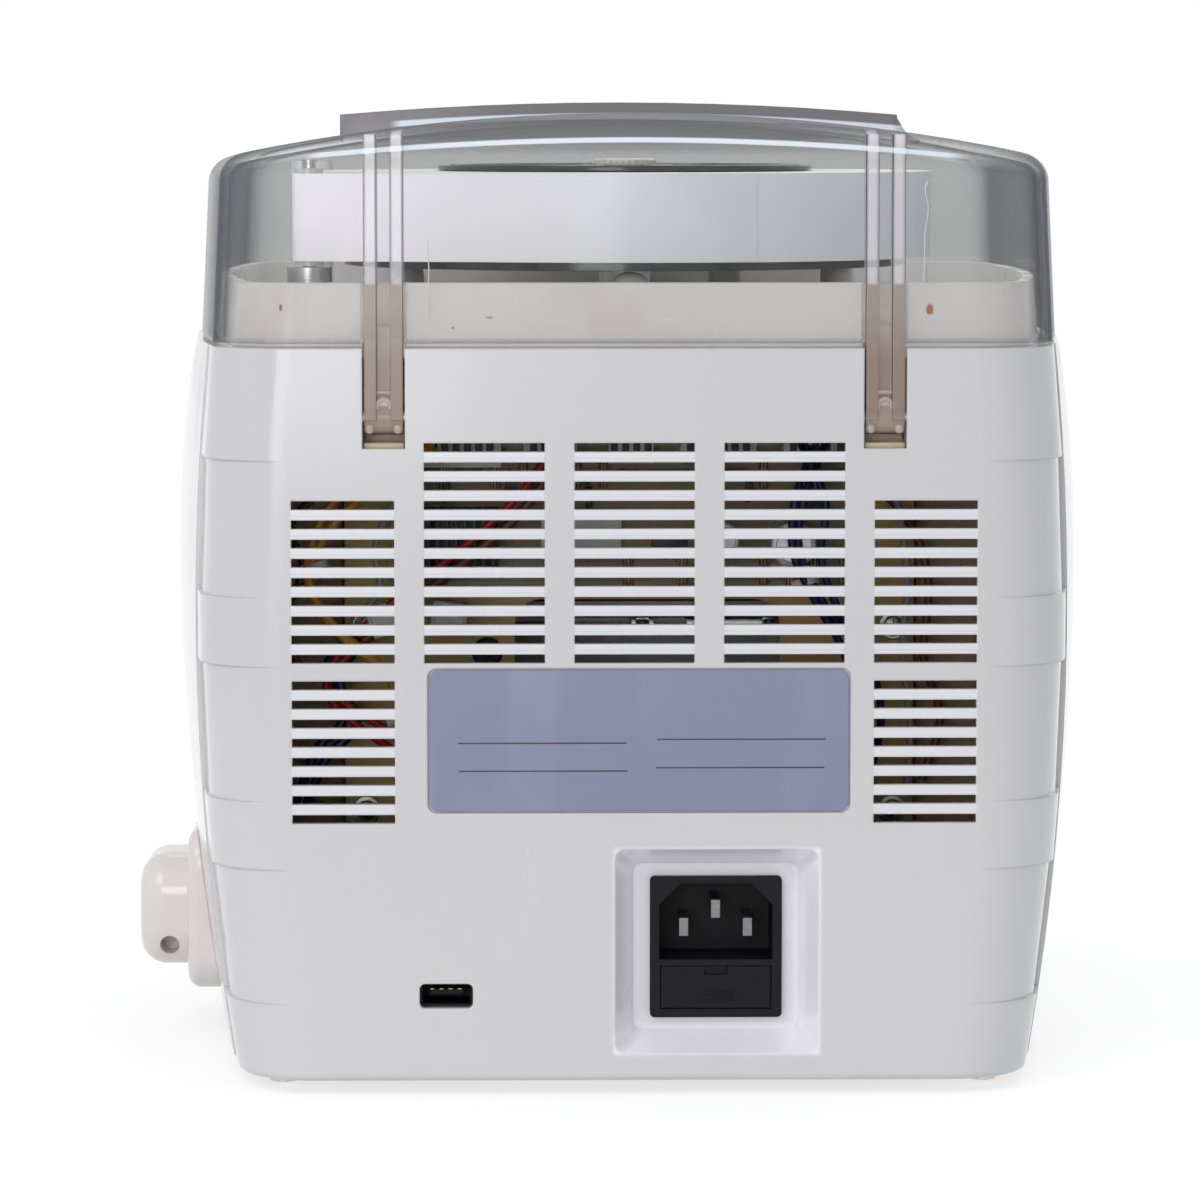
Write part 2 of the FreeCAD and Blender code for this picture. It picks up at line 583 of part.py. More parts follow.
def cover_lip():
    """The pull along the cover's front top edge, bowed like the crown and rounded at its ends."""
    front = sheet.cover_front - sheet.lip_deep + 7
    bar = Part.makeBox(2 * sheet.lip_half, sheet.lip_deep + 6, 20,
                       FreeCAD.Vector(-sheet.lip_half, front, sheet.lip_z - 20))
    bar = bar.makeFillet(4, [e for e in bar.Edges if along("z")(e) and e.BoundBox.YMax < front + 1])
    under = sheet.cover_wall / 2
    return bar.common(vault(sheet.lip_bow, sheet.lip_z)).cut(vault(sheet.crown_radius - under,
                                                                   sheet.crown_z - under))


lip = made("lip", cover_lip())
cover_parts, knuckle_bores = [], []
for side, sign in SIDES:
    middle = sign + "hinge_x"
    for edge, way in (("outer", "hinge_arm / 2 - arm_rib"), ("inner", "-hinge_arm / 2")):
        low = "%s + %s" % (middle, way)
        cover_parts.append(block("arm_rib_%s_%s" % (side, edge), (low, low + " + arm_rib"),
                                 ("cover_back - cover_wall", "rear_y - 0.4"),
                                 ("hinge_z - 0.5", "arm_rib_top_z")))
    cover_parts.append(block("arm_web_" + side, around(middle, "hinge_arm / 2"),
                             ("cover_back - cover_wall", "cover_back"), ("hinge_z", "case_top_z + 5")))
    cover_parts.append(rod("knuckle_" + side, "x", "%s - hinge_arm / 2" % middle, "hinge_y", "hinge_z",
                           "knuckle",
                           "hinge_arm"))
    knuckle_bores.append(rod("knuckle_bore_" + side, "x", "%s - hinge_arm" % middle, "hinge_y", "hinge_z",
                             "hinge_pin + running", "2 * hinge_arm"))
cover_hood = cut("cover_hood", cover_outer, cover_inner)
clear_cover = cut("clear_cover", fuse("cover_solid", cover_hood, lip, *cover_parts), *knuckle_bores)
node("clear_cover", clear_cover)
PIN_LENGTH = "hinge_slot + 2 * ear"
node("hinge_pins", group("hinge_pins", *[rod("hinge_pin_" + side, "x", "%shinge_x - (%s) / 2" % (
    sign, PIN_LENGTH), "hinge_y", "hinge_z", "hinge_pin", PIN_LENGTH) for side, sign in SIDES]))

# ---- the reel of tape and its spindle -------------------------------------------------------

spindle_foot = rod("spindle_foot", "z", "0", "reel_y", "chassis_top_z + sheet", "16", "4")
spindle_post = rod("spindle_post", "z", "0", "reel_y", "chassis_top_z + sheet", "spindle",
                   "tape_z + tape_width - 1 - cam_play - chassis_top_z - sheet")
node("reel_spindle", fuse("reel_spindle", spindle_foot, spindle_post))

hub_top = "tape_z + tape_width + 0.2"
reel_plate = rod("reel_plate", "z", "0", "reel_y", "tape_z - reel_disc_thick", "reel_disc",
                 "reel_disc_thick")
reel_hub = rod("reel_hub", "z", "0", "reel_y", "tape_z - reel_disc_thick", "hub_radius",
               "%s - tape_z + reel_disc_thick" % hub_top)
reel_bore = rod("reel_bore", "z", "0", "reel_y", "tape_z - 9", "spindle + running", "tape_width + 8")
node("reel_disc", cut("reel_disc_bored", fuse("reel_solid", reel_plate, reel_hub), reel_bore))


def ring(name, x, y, low, inner, outer, tall):
    return cut(name, rod(name + "_out", "z", x, y, low, outer, tall),
               rod(name + "_bore", "z", x, y, low + " - 1", inner, "%s + 2" % tall))


node("tape_core", ring("tape_core", "0", "reel_y", "tape_z", "hub_radius + 0.1", "core_radius",
                       "tape_width"))
node("tape_roll", ring("tape_roll", "0", "reel_y", "tape_z", "core_radius", "tape_radius", "tape_width"))
node("reel_cap", rod("reel_cap", "z", "0", "reel_y", hub_top, "reel_cap", "reel_cap_thick"))
knob_low = hub_top + " + reel_cap_thick"
knob_blank = rod("knob_blank", "z", "0", "reel_y", knob_low, "reel_knob", "reel_knob_thick")
knob_top = sheet.tape_z + sheet.tape_width + sheet.reel_cap_thick + 1
node("reel_knob", rounded("knob_round", knob_blank, 0.5, lambda edge: edge.BoundBox.ZLength < 0.01
                          and edge.BoundBox.ZMin > knob_top))

roller_low = "tape_z - 1"
roller_tall = "tape_width + 2"
post_boss = rod("guide_boss", "z", "guide_x", "guide_y", deck_z, "5",
                "%s - 0.3 - (%s)" % (roller_low, deck_z))
post_pin = rod("guide_pin", "z", "guide_x", "guide_y", deck_z, "guide_pin", "%s + %s + 2 - (%s)" % (
    roller_low, roller_tall, deck_z))
node("guide_post", fuse("guide_post", post_boss, post_pin))
node("guide_roller", ring("guide_roller", "guide_x", "guide_y", roller_low, "guide_pin + running",
                          "guide_radius",
                          roller_tall))


def tape_path():
    """The free tape in plan: off the roll, round the guide roller and forward to the chute."""
    lift, clear = sheet.tape_z + 0.1, sheet.cam_play
    roll, guide = sheet.tape_radius + clear, sheet.guide_radius + clear
    start, end = FreeCAD.Vector(0, sheet.reel_y, lift), FreeCAD.Vector(sheet.guide_x, sheet.guide_y, lift)
    line = end - start
    lean = math.atan2(line.y, line.x) + math.acos((roll - guide) / line.Length)
    out = FreeCAD.Vector(math.cos(lean), math.sin(lean), 0)
    thick = sheet.tape_thick

    def offset(more):
        leave, meet = start + out * (roll + more), end + out * (guide + more)
        half = lean / 2
        turn = end + FreeCAD.Vector(math.cos(half), math.sin(half), 0) * (guide + more)
        down = end + FreeCAD.Vector(guide + more, 0, 0)
        return leave, meet, turn, down, FreeCAD.Vector(down.x, sheet.chute_y, lift)

    inner, outer = offset(0), offset(thick)
    edges = [Part.LineSegment(inner[0], inner[1]), Part.Arc(inner[1], inner[2], inner[3]),
             Part.LineSegment(inner[3], inner[4]), Part.LineSegment(inner[4], outer[4]),
             Part.LineSegment(outer[4], outer[3]), Part.Arc(outer[3], outer[2], outer[1]),
             Part.LineSegment(outer[1], outer[0]), Part.LineSegment(outer[0], inner[0])]
    return Part.Face(wire_of(edges)).extrude(FreeCAD.Vector(0, 0, sheet.tape_width - 0.2))


node("tape_lead", made("tape_lead", tape_path()))
chute_x = "guide_x + guide_radius + cam_play + tape_thick / 2"
chute_block = plate("chute_block", "XY", around(chute_x, "5"), ("chute_y - 10", "chute_y + 3"), deck_z,
                    "tape_z + tape_width + 2", "1.5")
chute_slot = block("chute_slot", around(chute_x, "tape_thick / 2 + 0.3"), ("chute_y - 1", "chute_y + 9"),
                   ("tape_z - 1", "tape_z + tape_width + 1"))
node("tape_chute", cut("chute_cut", chute_block, chute_slot))

# ---- the throat, where the bundle goes in ---------------------------------------------------

table_top = "table_z + table_thick"
table_flat = plate("table_flat", "XY", around("0", "throat_half - 0.4"), ("table_front", "throat_back"),
                   "table_z",
                   table_top, "3")
table_edge = block("table_edge", around("0", "throat_half - 4"),
                   ("table_front", "table_front + table_thick"),
                   ("table_z - table_lip", "table_z + table_thick / 2"))
table_slot = block("table_slot", ("-38", "38"), around("arch_y", "arch_width / 2 + 0.5"),
                   ("table_z - 1", "table_z + 9"))
bar_slot = plate("bar_slot", "XY", ("guide_bar_x - guide_bar_travel - 7.2", "guide_bar_x - 2.8"),
                 around("front_y + 14", "2.2"), "table_z - 1", "table_z + 9", "2")
node("worktable", cut("worktable", fuse("table_solid", table_flat, table_edge), table_slot, bar_slot))

def lining(name, y, hollow_y):
    """A stretch of the throat's lining: two walls and a ceiling, open below on the table."""
    shell = block(name + "_out", around("0", "throat_half + liner"), y, (table_top, "throat_top_z"))
    hollow = block(name + "_in", around("0", "throat_half"), hollow_y, ("table_z", "throat_top_z - liner"))
    return cut(name, shell, hollow)


node("throat_frame", lining("throat_frame", ("front_y + 0.3", "arch_y - arch_width / 2"),
                            ("front_y - 1", "arch_y")))
node("throat_liner", lining("throat_liner", ("arch_y + arch_width / 2", "throat_back + liner"),
                            ("arch_y", "throat_back")))

arch_half = "throat_half + arch_deep"
arch_top = "throat_top_z - liner + arch_deep"
arch_low = "block_top_z"
arch_out = plate("arch_out", "XZ", around("0", arch_half), (arch_low, arch_top),
                 "arch_y - arch_width / 2 + 0.2",
                 "arch_y + arch_width / 2 - 0.2")
round_body(arch_out, "arch_corner",
           lambda edge: along("y")(edge) and edge.BoundBox.ZMin > sheet.throat_top_z)
arch_hollow = plate("arch_hollow", "XZ", around("0", "%s - arch_sheet" % arch_half),
                    (arch_low + " - 9", arch_top + " - arch_sheet"),
                    "arch_y - arch_width / 2 + 0.2 + arch_sheet",
                    "arch_y + arch_width / 2 - 0.2 - arch_sheet")
round_body(arch_hollow, "arch_corner - arch_sheet",
           lambda edge: along("y")(edge) and edge.BoundBox.ZMin > sheet.throat_top_z)
arch_mouth = block("arch_mouth", around("0", "throat_half"), ("arch_y - arch_width", "arch_y + arch_width"),
                   (arch_low + " - 9", "throat_top_z - liner"))
node("tape_arch", cut("tape_arch", arch_out, arch_hollow, arch_mouth))

bar_y = ("front_y - 8", "front_y + 26")
bar_foot = block("bar_foot", ("guide_bar_x - 14", "guide_bar_x"), bar_y,
                 (table_top + " + 0.1", table_top + " + 1.3"))
bar_wall = block("bar_wall", ("guide_bar_x - 14", "guide_bar_x - 12.8"), bar_y,
                 (table_top + " + 0.1", table_top + " + 22"))
bar_hole = rod("bar_hole", "z", "guide_bar_x - 5", "front_y + 14", "table_z", "screw", "9")
node("side_guide", cut("side_guide", fuse("bar_solid", bar_foot, bar_wall), bar_hole))
nut_shank = rod("nut_shank", "z", "guide_bar_x - 5", "front_y + 14", "table_z - 4", "screw", "8")
nut_head = rod("nut_head", "z", "guide_bar_x - 5", "front_y + 14", table_top + " + 1.3", "4.2", "5")
nut_foot = rod("nut_foot", "z", "guide_bar_x - 5", "front_y + 14", "table_z - 4", "3.6", "3.8")
node("guide_screw", fuse("guide_screw", nut_shank, nut_head, nut_foot))

# ---- the base and the chassis of folded sheet -----------------------------------------------

base_top = "foot_height + base_thick"
base_outline = bowed_outline(foot, band_half(foot), bulge_half(foot) - 1, sheet.front_y, sheet.front_corner,
                             sheet.rear_y, sheet.rear_corner, sheet.wall + sheet.base_play)
base_sheet = made("base_sheet", Part.Face(base_outline).extrude(AXES["z"] * sheet.base_thick))
CASE_SCREWS = [(sign + "(%s)" % spot[0], spot[1]) for spot in (REAR_BOSS, FRONT_BOSS)
               for side, sign in SIDES]
FOOT_PLACES = [(sign + "foot_x", y) for y in ("foot_front", "foot_back") for side, sign in SIDES]
base_holes = [rod("base_hole_%d" % k, "z", x, y, "foot_height - 1", "screw + 0.1", "9")
              for k, (x, y) in enumerate(CASE_SCREWS + FOOT_PLACES, 1)]
node("base_plate", cut("base_plate", base_sheet, *base_holes))

feet, screws = [], []
for k, (x, y) in enumerate(FOOT_PLACES, 1):
    pad = cone("foot_pad_%d" % k, "z", x, y, "0", "foot_radius - 0.8", "foot_radius", "foot_height")
    recess = rod("foot_recess_%d" % k, "z", x, y, "-1", "screw_head + 0.6", "foot_height / 2 + 1.2")
    shaft = rod("foot_bore_%d" % k, "z", x, y, "-1", "screw + 0.2", "foot_height + 3")
    feet.append(cut("foot_%d" % k, pad, recess, shaft))


def screw_at(name, x, y, head_z, length):
    """A pan-head screw pointing up, its head below head_z."""
    return fuse(name, rod(name + "_head", "z", x, y, head_z + " - screw_head_thick", "screw_head",
                          "screw_head_thick"),
                rod(name + "_shank", "z", x, y, head_z + " - screw_head_thick / 2", "screw", length))


for k, (x, y) in enumerate(FOOT_PLACES, 1):
    screws.append(screw_at("foot_screw_%d" % k, x, y, "foot_height / 2 + 0.2", "foot_height + base_thick"))
for k, (x, y) in enumerate(CASE_SCREWS, 1):
    screws.append(screw_at("case_screw_%d" % k, x, y, "foot_height", "boss_tall - 5"))
node("rubber_feet", group("rubber_feet", *feet))
node("case_screws", group("case_screws", *screws))

chassis_inner = "chassis_half - sheet"
for side, sign in SIDES:
    wall_x = (chassis_inner, "chassis_half") if side == "left" else ("-chassis_half",
                                                                     "-(%s)" % chassis_inner)
    toe_x = (("%s - 11" % chassis_inner, chassis_inner) if side == "left"
             else ("-(%s)" % chassis_inner, "11 - (%s)" % chassis_inner))
    wall_sheet = plate("chassis_wall_" + side, "YZ", ("chassis_front", "chassis_back - sheet"),
                       (base_top, "chassis_top_z"), wall_x[0], wall_x[1])
    notch = plate("chassis_notch_" + side, "YZ", ("chassis_front - 9", "arch_y + arch_width / 2 + 12"),
                  ("throat_top_z + 9", "chassis_top_z + 9"), "-chassis_half - 9", "chassis_half + 9", "6")
    window = plate("chassis_window_" + side, "YZ", ("-14", "48"), ("table_z + 4", "chassis_top_z - 18"),
                   "-chassis_half - 9", "chassis_half + 9", "8")
    toe = block("chassis_toe_" + side, toe_x, ("20", "chassis_back - sheet"),
                (base_top, base_top + " + sheet"))
    node("chassis_" + side, cut("chassis_cut_" + side, fuse("chassis_folded_" + side, wall_sheet, toe),
                                notch,
                                window))

back_sheet = plate("chassis_back_sheet", "XZ", around("0", "chassis_half"), (base_top, "chassis_top_z"),
                   "chassis_back - sheet", "chassis_back")
back_window = plate("chassis_back_window", "XZ", ("-34", "26"), ("58", "chassis_top_z - 46"),
                    "chassis_back - 9",
                    "chassis_back + 9", "6")
lead_hole = rod("chassis_lead_hole", "y", "pocket_x + 40", "chassis_back - 9", "30", "5", "18")
node("chassis_rear", cut("chassis_rear", back_sheet, back_window, lead_hole))

bridge_sheet = plate("bridge_sheet", "XY", around("0", "chassis_half"), ("throat_back - 8", "chassis_back"),
                     "chassis_top_z", "chassis_top_z + sheet", "4")
BRIDGE_SPOTS = [(sign + "(chassis_half - 9)", y) for y in ("throat_back", "chassis_back - 9")
                for side, sign in SIDES]
bridge_posts = [rod("bridge_post_%d" % k, "z", x, y, "chassis_top_z + sheet", "4",
                    "case_top_z - chassis_top_z - sheet")
                for k, (x, y) in enumerate(BRIDGE_SPOTS, 1)]
node("reel_bridge", fuse("reel_bridge", bridge_sheet, *bridge_posts))

# ---- the sealing head, its cams and their motor ---------------------------------------------

frame_low, frame_high = "cutter_x - 11", "press_x + 13"
head_y = around("arch_y", "15")
frame_parts = [block("frame_motor_wall", (frame_low, frame_low + " + sheet"), head_y,
                     (base_top, "block_low_z")),
               block("frame_end_wall", (frame_high + " - sheet", frame_high), head_y,
                     (base_top, "block_low_z")),
               block("frame_floor", (frame_low, frame_high), head_y, (base_top, base_top + " + sheet"))]
frame_bores = [rod("frame_bore", "x", frame_low + " - 9", "arch_y", "cam_z", "cam_shaft + running", "80")]
node("head_frame", cut("head_frame", fuse("frame_folded", *frame_parts), *frame_bores))

HEADS = (("cutter", "cutter_x", "4"), ("heater", "heater_x", "8"), ("press", "press_x", "9"))
block_body = block("block_body", ("-(%s) + 0.1" % chassis_inner, frame_high), around("arch_y", "12"),
                   ("block_low_z", "block_top_z"))
slots = [block(name + "_slot", around(x, half + " + slide_play"), around("arch_y", "8 + slide_play"),
               ("block_low_z - 1", "block_top_z + 1")) for name, x, half in HEADS]
node("head_block", cut("head_block", block_body, *slots))
for name, x, half in HEADS:
    foot = "cam_z + cam_radius + cam_play"
    shoe = block(name + "_shoe", around(x, half), around("arch_y", "8"), (foot, "head_top_z - 3"))
    tips = {"cutter": block("cutter_tip", around(x, "0.6"), around("arch_y", "7.5"),
                            ("head_top_z - 4", "head_top_z")),
            "heater": block("heater_tip", around(x, half + " - 1.5"), around("arch_y", "7"),
                            ("head_top_z - 4", "head_top_z")),
            "press": block("press_tip", around(x, half), around("arch_y", "7.8"),
                           ("head_top_z - 4", "head_top_z"))}
    node(name + "_slide", fuse(name + "_slide", shoe, tips[name]))


def cam(x):
    """A cam that lifts evenly through half a turn and lowers evenly through the other half."""
    def rim(turn):
        radius = sheet.cam_radius + sheet.cam_rise * (1 - abs(180 - turn) / 180)
        angle = math.radians(90 - turn)
        return FreeCAD.Vector(x, sheet.arch_y + radius * math.cos(angle),
                              sheet.cam_z + radius * math.sin(angle))

    halves = []
    for start in (0, 180):
        curve = Part.BSplineCurve()
        curve.interpolate([rim(start + 15 * k) for k in range(13)])
        halves.append(curve)
    return Part.Face(wire_of(halves)).extrude(FreeCAD.Vector(sheet.cam_wide, 0, 0))


cams = [made(name + "_cam", cam(getattr(sheet, x) - sheet.cam_wide / 2)) for name, x, half in HEADS]
shaft = rod("cam_rod", "x", frame_low + " - 6", "arch_y", "cam_z", "cam_shaft",
            "%s + 9 - (%s)" % (frame_high, frame_low))
node("camshaft", fuse("camshaft", shaft, *cams))

gearbox = rod("gearbox", "x", frame_low + " - 14", "arch_y", "cam_z", "motor_radius", "14")
can_start = "sheet + motor_gap - chassis_half"
motor_can = rod("motor_can", "x", can_start, "arch_y", "cam_z", "motor_radius - 2",
                "%s - 13 - (%s)" % (frame_low, can_start))
motor_bore = rod("motor_bore", "x", frame_low + " - 7", "arch_y", "cam_z", "cam_shaft + running", "9")
node("drive_motor", cut("drive_motor", fuse("motor_solid", gearbox, motor_can), motor_bore))

# ---- the tape feed --------------------------------------------------------------------------

feed_back = "arch_y + arch_width / 2 + 10"
feed_x = "chassis_half - feed_inset"
motor_half = "feed_motor / 2"
pinch_z = "feed_z - feed_radius - pinch_radius - nip"
bracket_sheet = block("bracket_sheet", (feed_x + " - 17", chassis_inner + " - 0.1"),
                      (feed_back, feed_back + " + sheet"),
                      ("cam_z + 2", "table_z - 2"))
bracket_hole = rod("bracket_hole", "y", feed_x, feed_back + " - 1", "feed_z", "roller_pin + 0.3", "9")
pinch_pin = rod("pinch_pin", "y", feed_x, "arch_y - 12.5", pinch_z, "roller_pin",
                "%s - arch_y + 13" % feed_back)
node("feed_bracket", fuse("feed_bracket", cut("bracket_cut", bracket_sheet, bracket_hole), pinch_pin))
node("feed_motor", plate("feed_motor", "XZ", around(feed_x, motor_half), around("feed_z", motor_half),
                         feed_back + " + sheet", feed_back + " + sheet + feed_motor_long", "2.5"))
feed_tyre = rod("feed_tyre", "y", feed_x, "arch_y - 10", "feed_z", "feed_radius", "20")
feed_shaft = rod("feed_shaft", "y", feed_x, "arch_y - 12", "feed_z", "roller_pin",
                 "%s + sheet - 0.2 - arch_y + 12" % feed_back)
node("feed_roller", fuse("feed_roller", feed_tyre, feed_shaft))
node("pinch_roller", cut("pinch_roller", rod("pinch_tyre", "y", feed_x, "arch_y - 10", pinch_z,
                                             "pinch_radius", "20"),
                         rod("pinch_bore", "y", feed_x, "arch_y - 13", pinch_z, "roller_pin + running",
                             "26")))

# ---- electrics ------------------------------------------------------------------------------

core = plate("transformer_core", "XZ", around("core_x", "core_half"), (base_top, base_top + " + core_tall"),
             "0", "core_deep", "1")
coil = plate("transformer_coil", "XZ", around("core_x", "coil_half"),
             (base_top + " + core_tall / 5", base_top + " + core_tall * 4 / 5"),
             "core_deep / 2 - coil_deep / 2", "core_deep / 2 + coil_deep / 2", "5")
node("transformer", fuse("transformer", core, coil))

board_y = "chassis_back + board_off"
board_face = board_y + " + board_thick"
board_low = "chassis_top_z - board_tall - 1"
board = block("board", around("board_x", "board_half"), (board_y, board_face),
              (board_low, "chassis_top_z - 1"))
POST_SPOTS = [(x, z) for x in around("board_x", "board_half - 5")
              for z in (board_low + " + 5", "chassis_top_z - 6")]
board_posts = [rod("board_post_%d" % k, "y", x, "chassis_back", z, "2.5", "board_off")
               for k, (x, z) in enumerate(POST_SPOTS, 1)]
node("control_board", fuse("control_board", board, *board_posts))
# each plug: from the board's middle, width, depth, drop from the chassis top, height
PLUGS = ((-47, 12, 7, 14, 8), (-29, 17, 7, 14, 8), (-6, 10, 9, 14, 9), (11, 12, 7, 14, 8), (28, 20, 8, 15, 9))
plugs = [block("plug_%d" % k, ("board_x + %d" % x, "board_x + %d" % (x + wide)),
               (board_face, board_face + " + %s" % deep),
               ("chassis_top_z - %s" % down, "chassis_top_z - %s + %s" % (down, tall)))
         for k, (x, wide, deep, down, tall) in enumerate(PLUGS, 1)]
parts_on_board = plugs + [
    rod("board_can_1", "y", "board_x - 37", board_face, board_low + " + 10", "5", "14"),
    rod("board_can_2", "y", "board_x - 21", board_face, board_low + " + 11", "4", "12"),
    block("board_chip", ("board_x + 1", "board_x + 19"), (board_face, board_face + " + 2.4"),
          (board_low + " + 6", board_low + " + 16")),
    block("board_sink", ("board_x + 29", "board_x + 47"), (board_face, board_face + " + 10.4"),
          (board_low + " + 4", board_low + " + 18"))]
node("board_parts", group("board_parts", *parts_on_board))

recess_y = "rear_y - pocket_deep"
inlet_face = plate("inlet_face", "XZ", around("pocket_x", "inlet_width / 2"),
                   around("pocket_z", "inlet_tall / 2"),
                   recess_y, recess_y + " + inlet_rim", "1")
inlet_body = block("inlet_body", around("pocket_x", "inlet_width / 2 - inlet_step"),
                   (recess_y + " - inlet_deep", recess_y + " + 0.5"),
                   around("pocket_z", "inlet_tall / 2 - inlet_step"))
socket_z = "pocket_z + socket_up"
half_w, half_t = "socket_width / 2", "socket_tall / 2"
socket_hole = prism("socket_hole", "XZ", [("pocket_x - " + half_w, socket_z + " - " + half_t),
                    ("pocket_x + " + half_w, socket_z + " - " + half_t),
                    ("pocket_x + " + half_w, "%s + %s - socket_chamfer" % (socket_z, half_t)),
                    ("pocket_x + %s - socket_chamfer" % half_w, "%s + %s" % (socket_z, half_t)),
                    ("pocket_x - %s + socket_chamfer" % half_w, "%s + %s" % (socket_z, half_t)),
                    ("pocket_x - " + half_w, "%s + %s - socket_chamfer" % (socket_z, half_t))],
                    recess_y + " + inlet_rim - socket_deep", recess_y + " + 9")
fuse_z = "pocket_z - fuse_down"
fuse_hole = block("fuse_hole", around("pocket_x", "fuse_width / 2"),
                  (recess_y + " - fuse_long", recess_y + " + 9"),
                  around(fuse_z, "fuse_tall / 2"))
node("power_inlet", cut("power_inlet", fuse("inlet_solid", inlet_face, inlet_body), socket_hole, fuse_hole))
pin_floor = recess_y + " + inlet_rim - socket_deep"
pins = [block("inlet_pin_%d" % k, around(x, "pin_wide / 2"), (pin_floor, pin_floor + " + pin_long"),
              around(z, "pin_tall / 2"))
        for k, (x, z) in enumerate((("pocket_x - pin_spacing / 2", socket_z + " - 1.5"),
                                    ("pocket_x + pin_spacing / 2", socket_z + " - 1.5"),
                                    ("pocket_x", socket_z + " + 2.5")), 1)]
node("inlet_pins", group("inlet_pins", *pins))
drawer = block("drawer", around("pocket_x", "fuse_width / 2 - 0.15"),
               (recess_y + " - fuse_long + 1", recess_y + " + 1.4"),
               around(fuse_z, "fuse_tall / 2 - 0.15"))
drawer_tray = block("drawer_tray", around("pocket_x", "fuse_width / 2 - 1.6"),
                    (recess_y + " - fuse_long + 3",
                    recess_y + " - 3"), (fuse_z + " - fuse_tall / 2 + 1.5", fuse_z + " + fuse_tall"))
drawer_notch = block("drawer_notch", around("pocket_x", "2.5"), (recess_y + " + 0.4", recess_y + " + 9"),
                     (fuse_z + " + fuse_tall / 2 - 2", fuse_z + " + fuse_tall"))
node("fuse_drawer", cut("fuse_drawer", drawer, drawer_tray, drawer_notch))

port_front = "rear_y - wall - 0.1"
port_shell = block("port_shell", around("port_x", "port_width / 2 + 1.2"),
                   (port_front + " - port_deep", port_front),
                   around("port_z", "port_tall / 2 + 1.2"))
port_mouth = block("port_mouth", around("port_x", "port_width / 2 - 0.6"), (port_front + " - port_deep + 2",
                   "rear_y"), around("port_z", "port_tall / 2 - 0.6"))
port_tongue = block("port_tongue", around("port_x", "port_width / 2 - 2.2"),
                    (port_front + " - port_deep + 1",
                    port_front + " - 1"), ("port_z - 0.2", "port_z + 1"))
node("service_port", fuse("service_port", cut("port_cut", port_shell, port_mouth), port_tongue))

rocker_y = ("front_y", "front_y + 14")
frame_face = plate("rocker_bezel", "XZ", around("rocker_x", "rocker_width / 2 + 1.5"),
                   around("rocker_z", "rocker_tall / 2 + 1.5"), "front_y - 1.4", "front_y", "1.5")
frame_body = block("rocker_box", around("rocker_x", "rocker_width / 2 - 1.3"),
                   ("front_y - 0.5", "front_y + 14"),
                   around("rocker_z", "rocker_tall / 2 - 1.3"))
frame_hollow = block("rocker_hollow", around("rocker_x", "rocker_width / 2 - 2.2"),
                     ("front_y - 9", "front_y + 9"),
                     around("rocker_z", "rocker_tall / 2 - 2"))
pivot_y = "front_y + 3.5"
pivot_bore = rod("rocker_bore", "x", "rocker_x - rocker_width / 2", pivot_y, "rocker_z", "1.05",
                 "rocker_width")
node("switch_frame", cut("switch_frame", fuse("switch_solid", frame_face, frame_body), frame_hollow,
                         pivot_bore))
key_tall = "rocker_tall / 2 - 2.9"
key = prism("rocker_key", "YZ", [("-3.2", "0"), ("-4.6", key_tall), ("0.8", key_tall), ("2.6", "0"),
                                 ("0.8", "-(%s)" % key_tall), ("-4.6", "-(%s)" % key_tall)],
            "2.4 - rocker_width / 2", "rocker_width / 2 - 2.4")
key_pivot = rod("rocker_pivot", "x", "1.5 - rocker_width / 2", "0", "0", "1", "rocker_width - 3")
key_both = fuse("power_rocker", key, key_pivot)
key_both.Placement = FreeCAD.Placement(FreeCAD.Vector(), FreeCAD.Rotation(AXES["x"], sheet.rocker_tilt))
put(key_both, "rocker_x", pivot_y, "rocker_z")
node("power_rocker", key_both)

# ---- the control panel on the slope ---------------------------------------------------------

facia_blank = slope_plate("facia_blank", ("facia_left", "facia_right"), ("facia_low", "facia_high"),
                          ("0", "facia_thick"))
facia_holes = [slope_plate("facia_display", DISPLAY_X, ("display_low", "display_high"), ("-3", "3"))]
for name, x in BUTTONS:
    facia_holes.append(slope_plate("facia_hole_" + name, around(x, "button_half + button_play"),
                                   ("button_low - button_play", "button_high + button_play"), ("-3", "3")))
node("control_panel", cut("control_panel", facia_blank, *facia_holes))
window_plug = slope_plate("window_plug", around("display_x", "display_half - window_play"),
                          ("display_low + window_play", "display_high - window_play"),
                          ("-1", "facia_thick + 0.3"))
window_rim = slope_plate("window_rim", around("display_x", "display_half + window_rim"),
                         ("display_low - window_rim", "display_high + window_rim"),
                         ("facia_thick", "facia_thick + 0.6"))
node("display_window", fuse("display_window", window_plug, window_rim))
for name, x in BUTTONS:
    stem = slope_plate("button_stem_" + name, around(x, "button_half"), ("button_low", "button_high"),
                       ("-wall - 1.1", "facia_thick + 1.4"))
    flange = slope_plate("button_flange_" + name, around(x, "button_half + button_flange"),
                         ("button_low - button_flange", "button_high + button_flange"),
                         ("-wall - 1.1", "-wall - 0.2"))
    node("button_" + name, fuse("button_" + name, stem, flange))
panel_sheet = slope_plate("panel_sheet", ("-54", "59"), ("6", "32"), ("-9", "-7.4"))
tacts = [slope_plate("tact_" + name, around(x, "3"), ("16", "22"),
                     ("-7.4", "-wall - 1.1 - button_travel - 0.2"))
         for name, x in BUTTONS]
panel_posts = [slope_plate("panel_post_%d" % k, around(x, "2"), around(up, "1.5"), ("-7.5", "-wall"))
               for k, (x, up) in enumerate([(x, up) for x in ("-51.5", "-7") for up in ("8", "30")], 1)]
screen = slope_plate("panel_screen", ("-46", "-12"), ("10", "28"), ("-7.5", "-1.4"))
node("panel_board", fuse("panel_board", panel_sheet, screen, *tacts, *panel_posts))

# ---- the housing on the side wall -----------------------------------------------------------

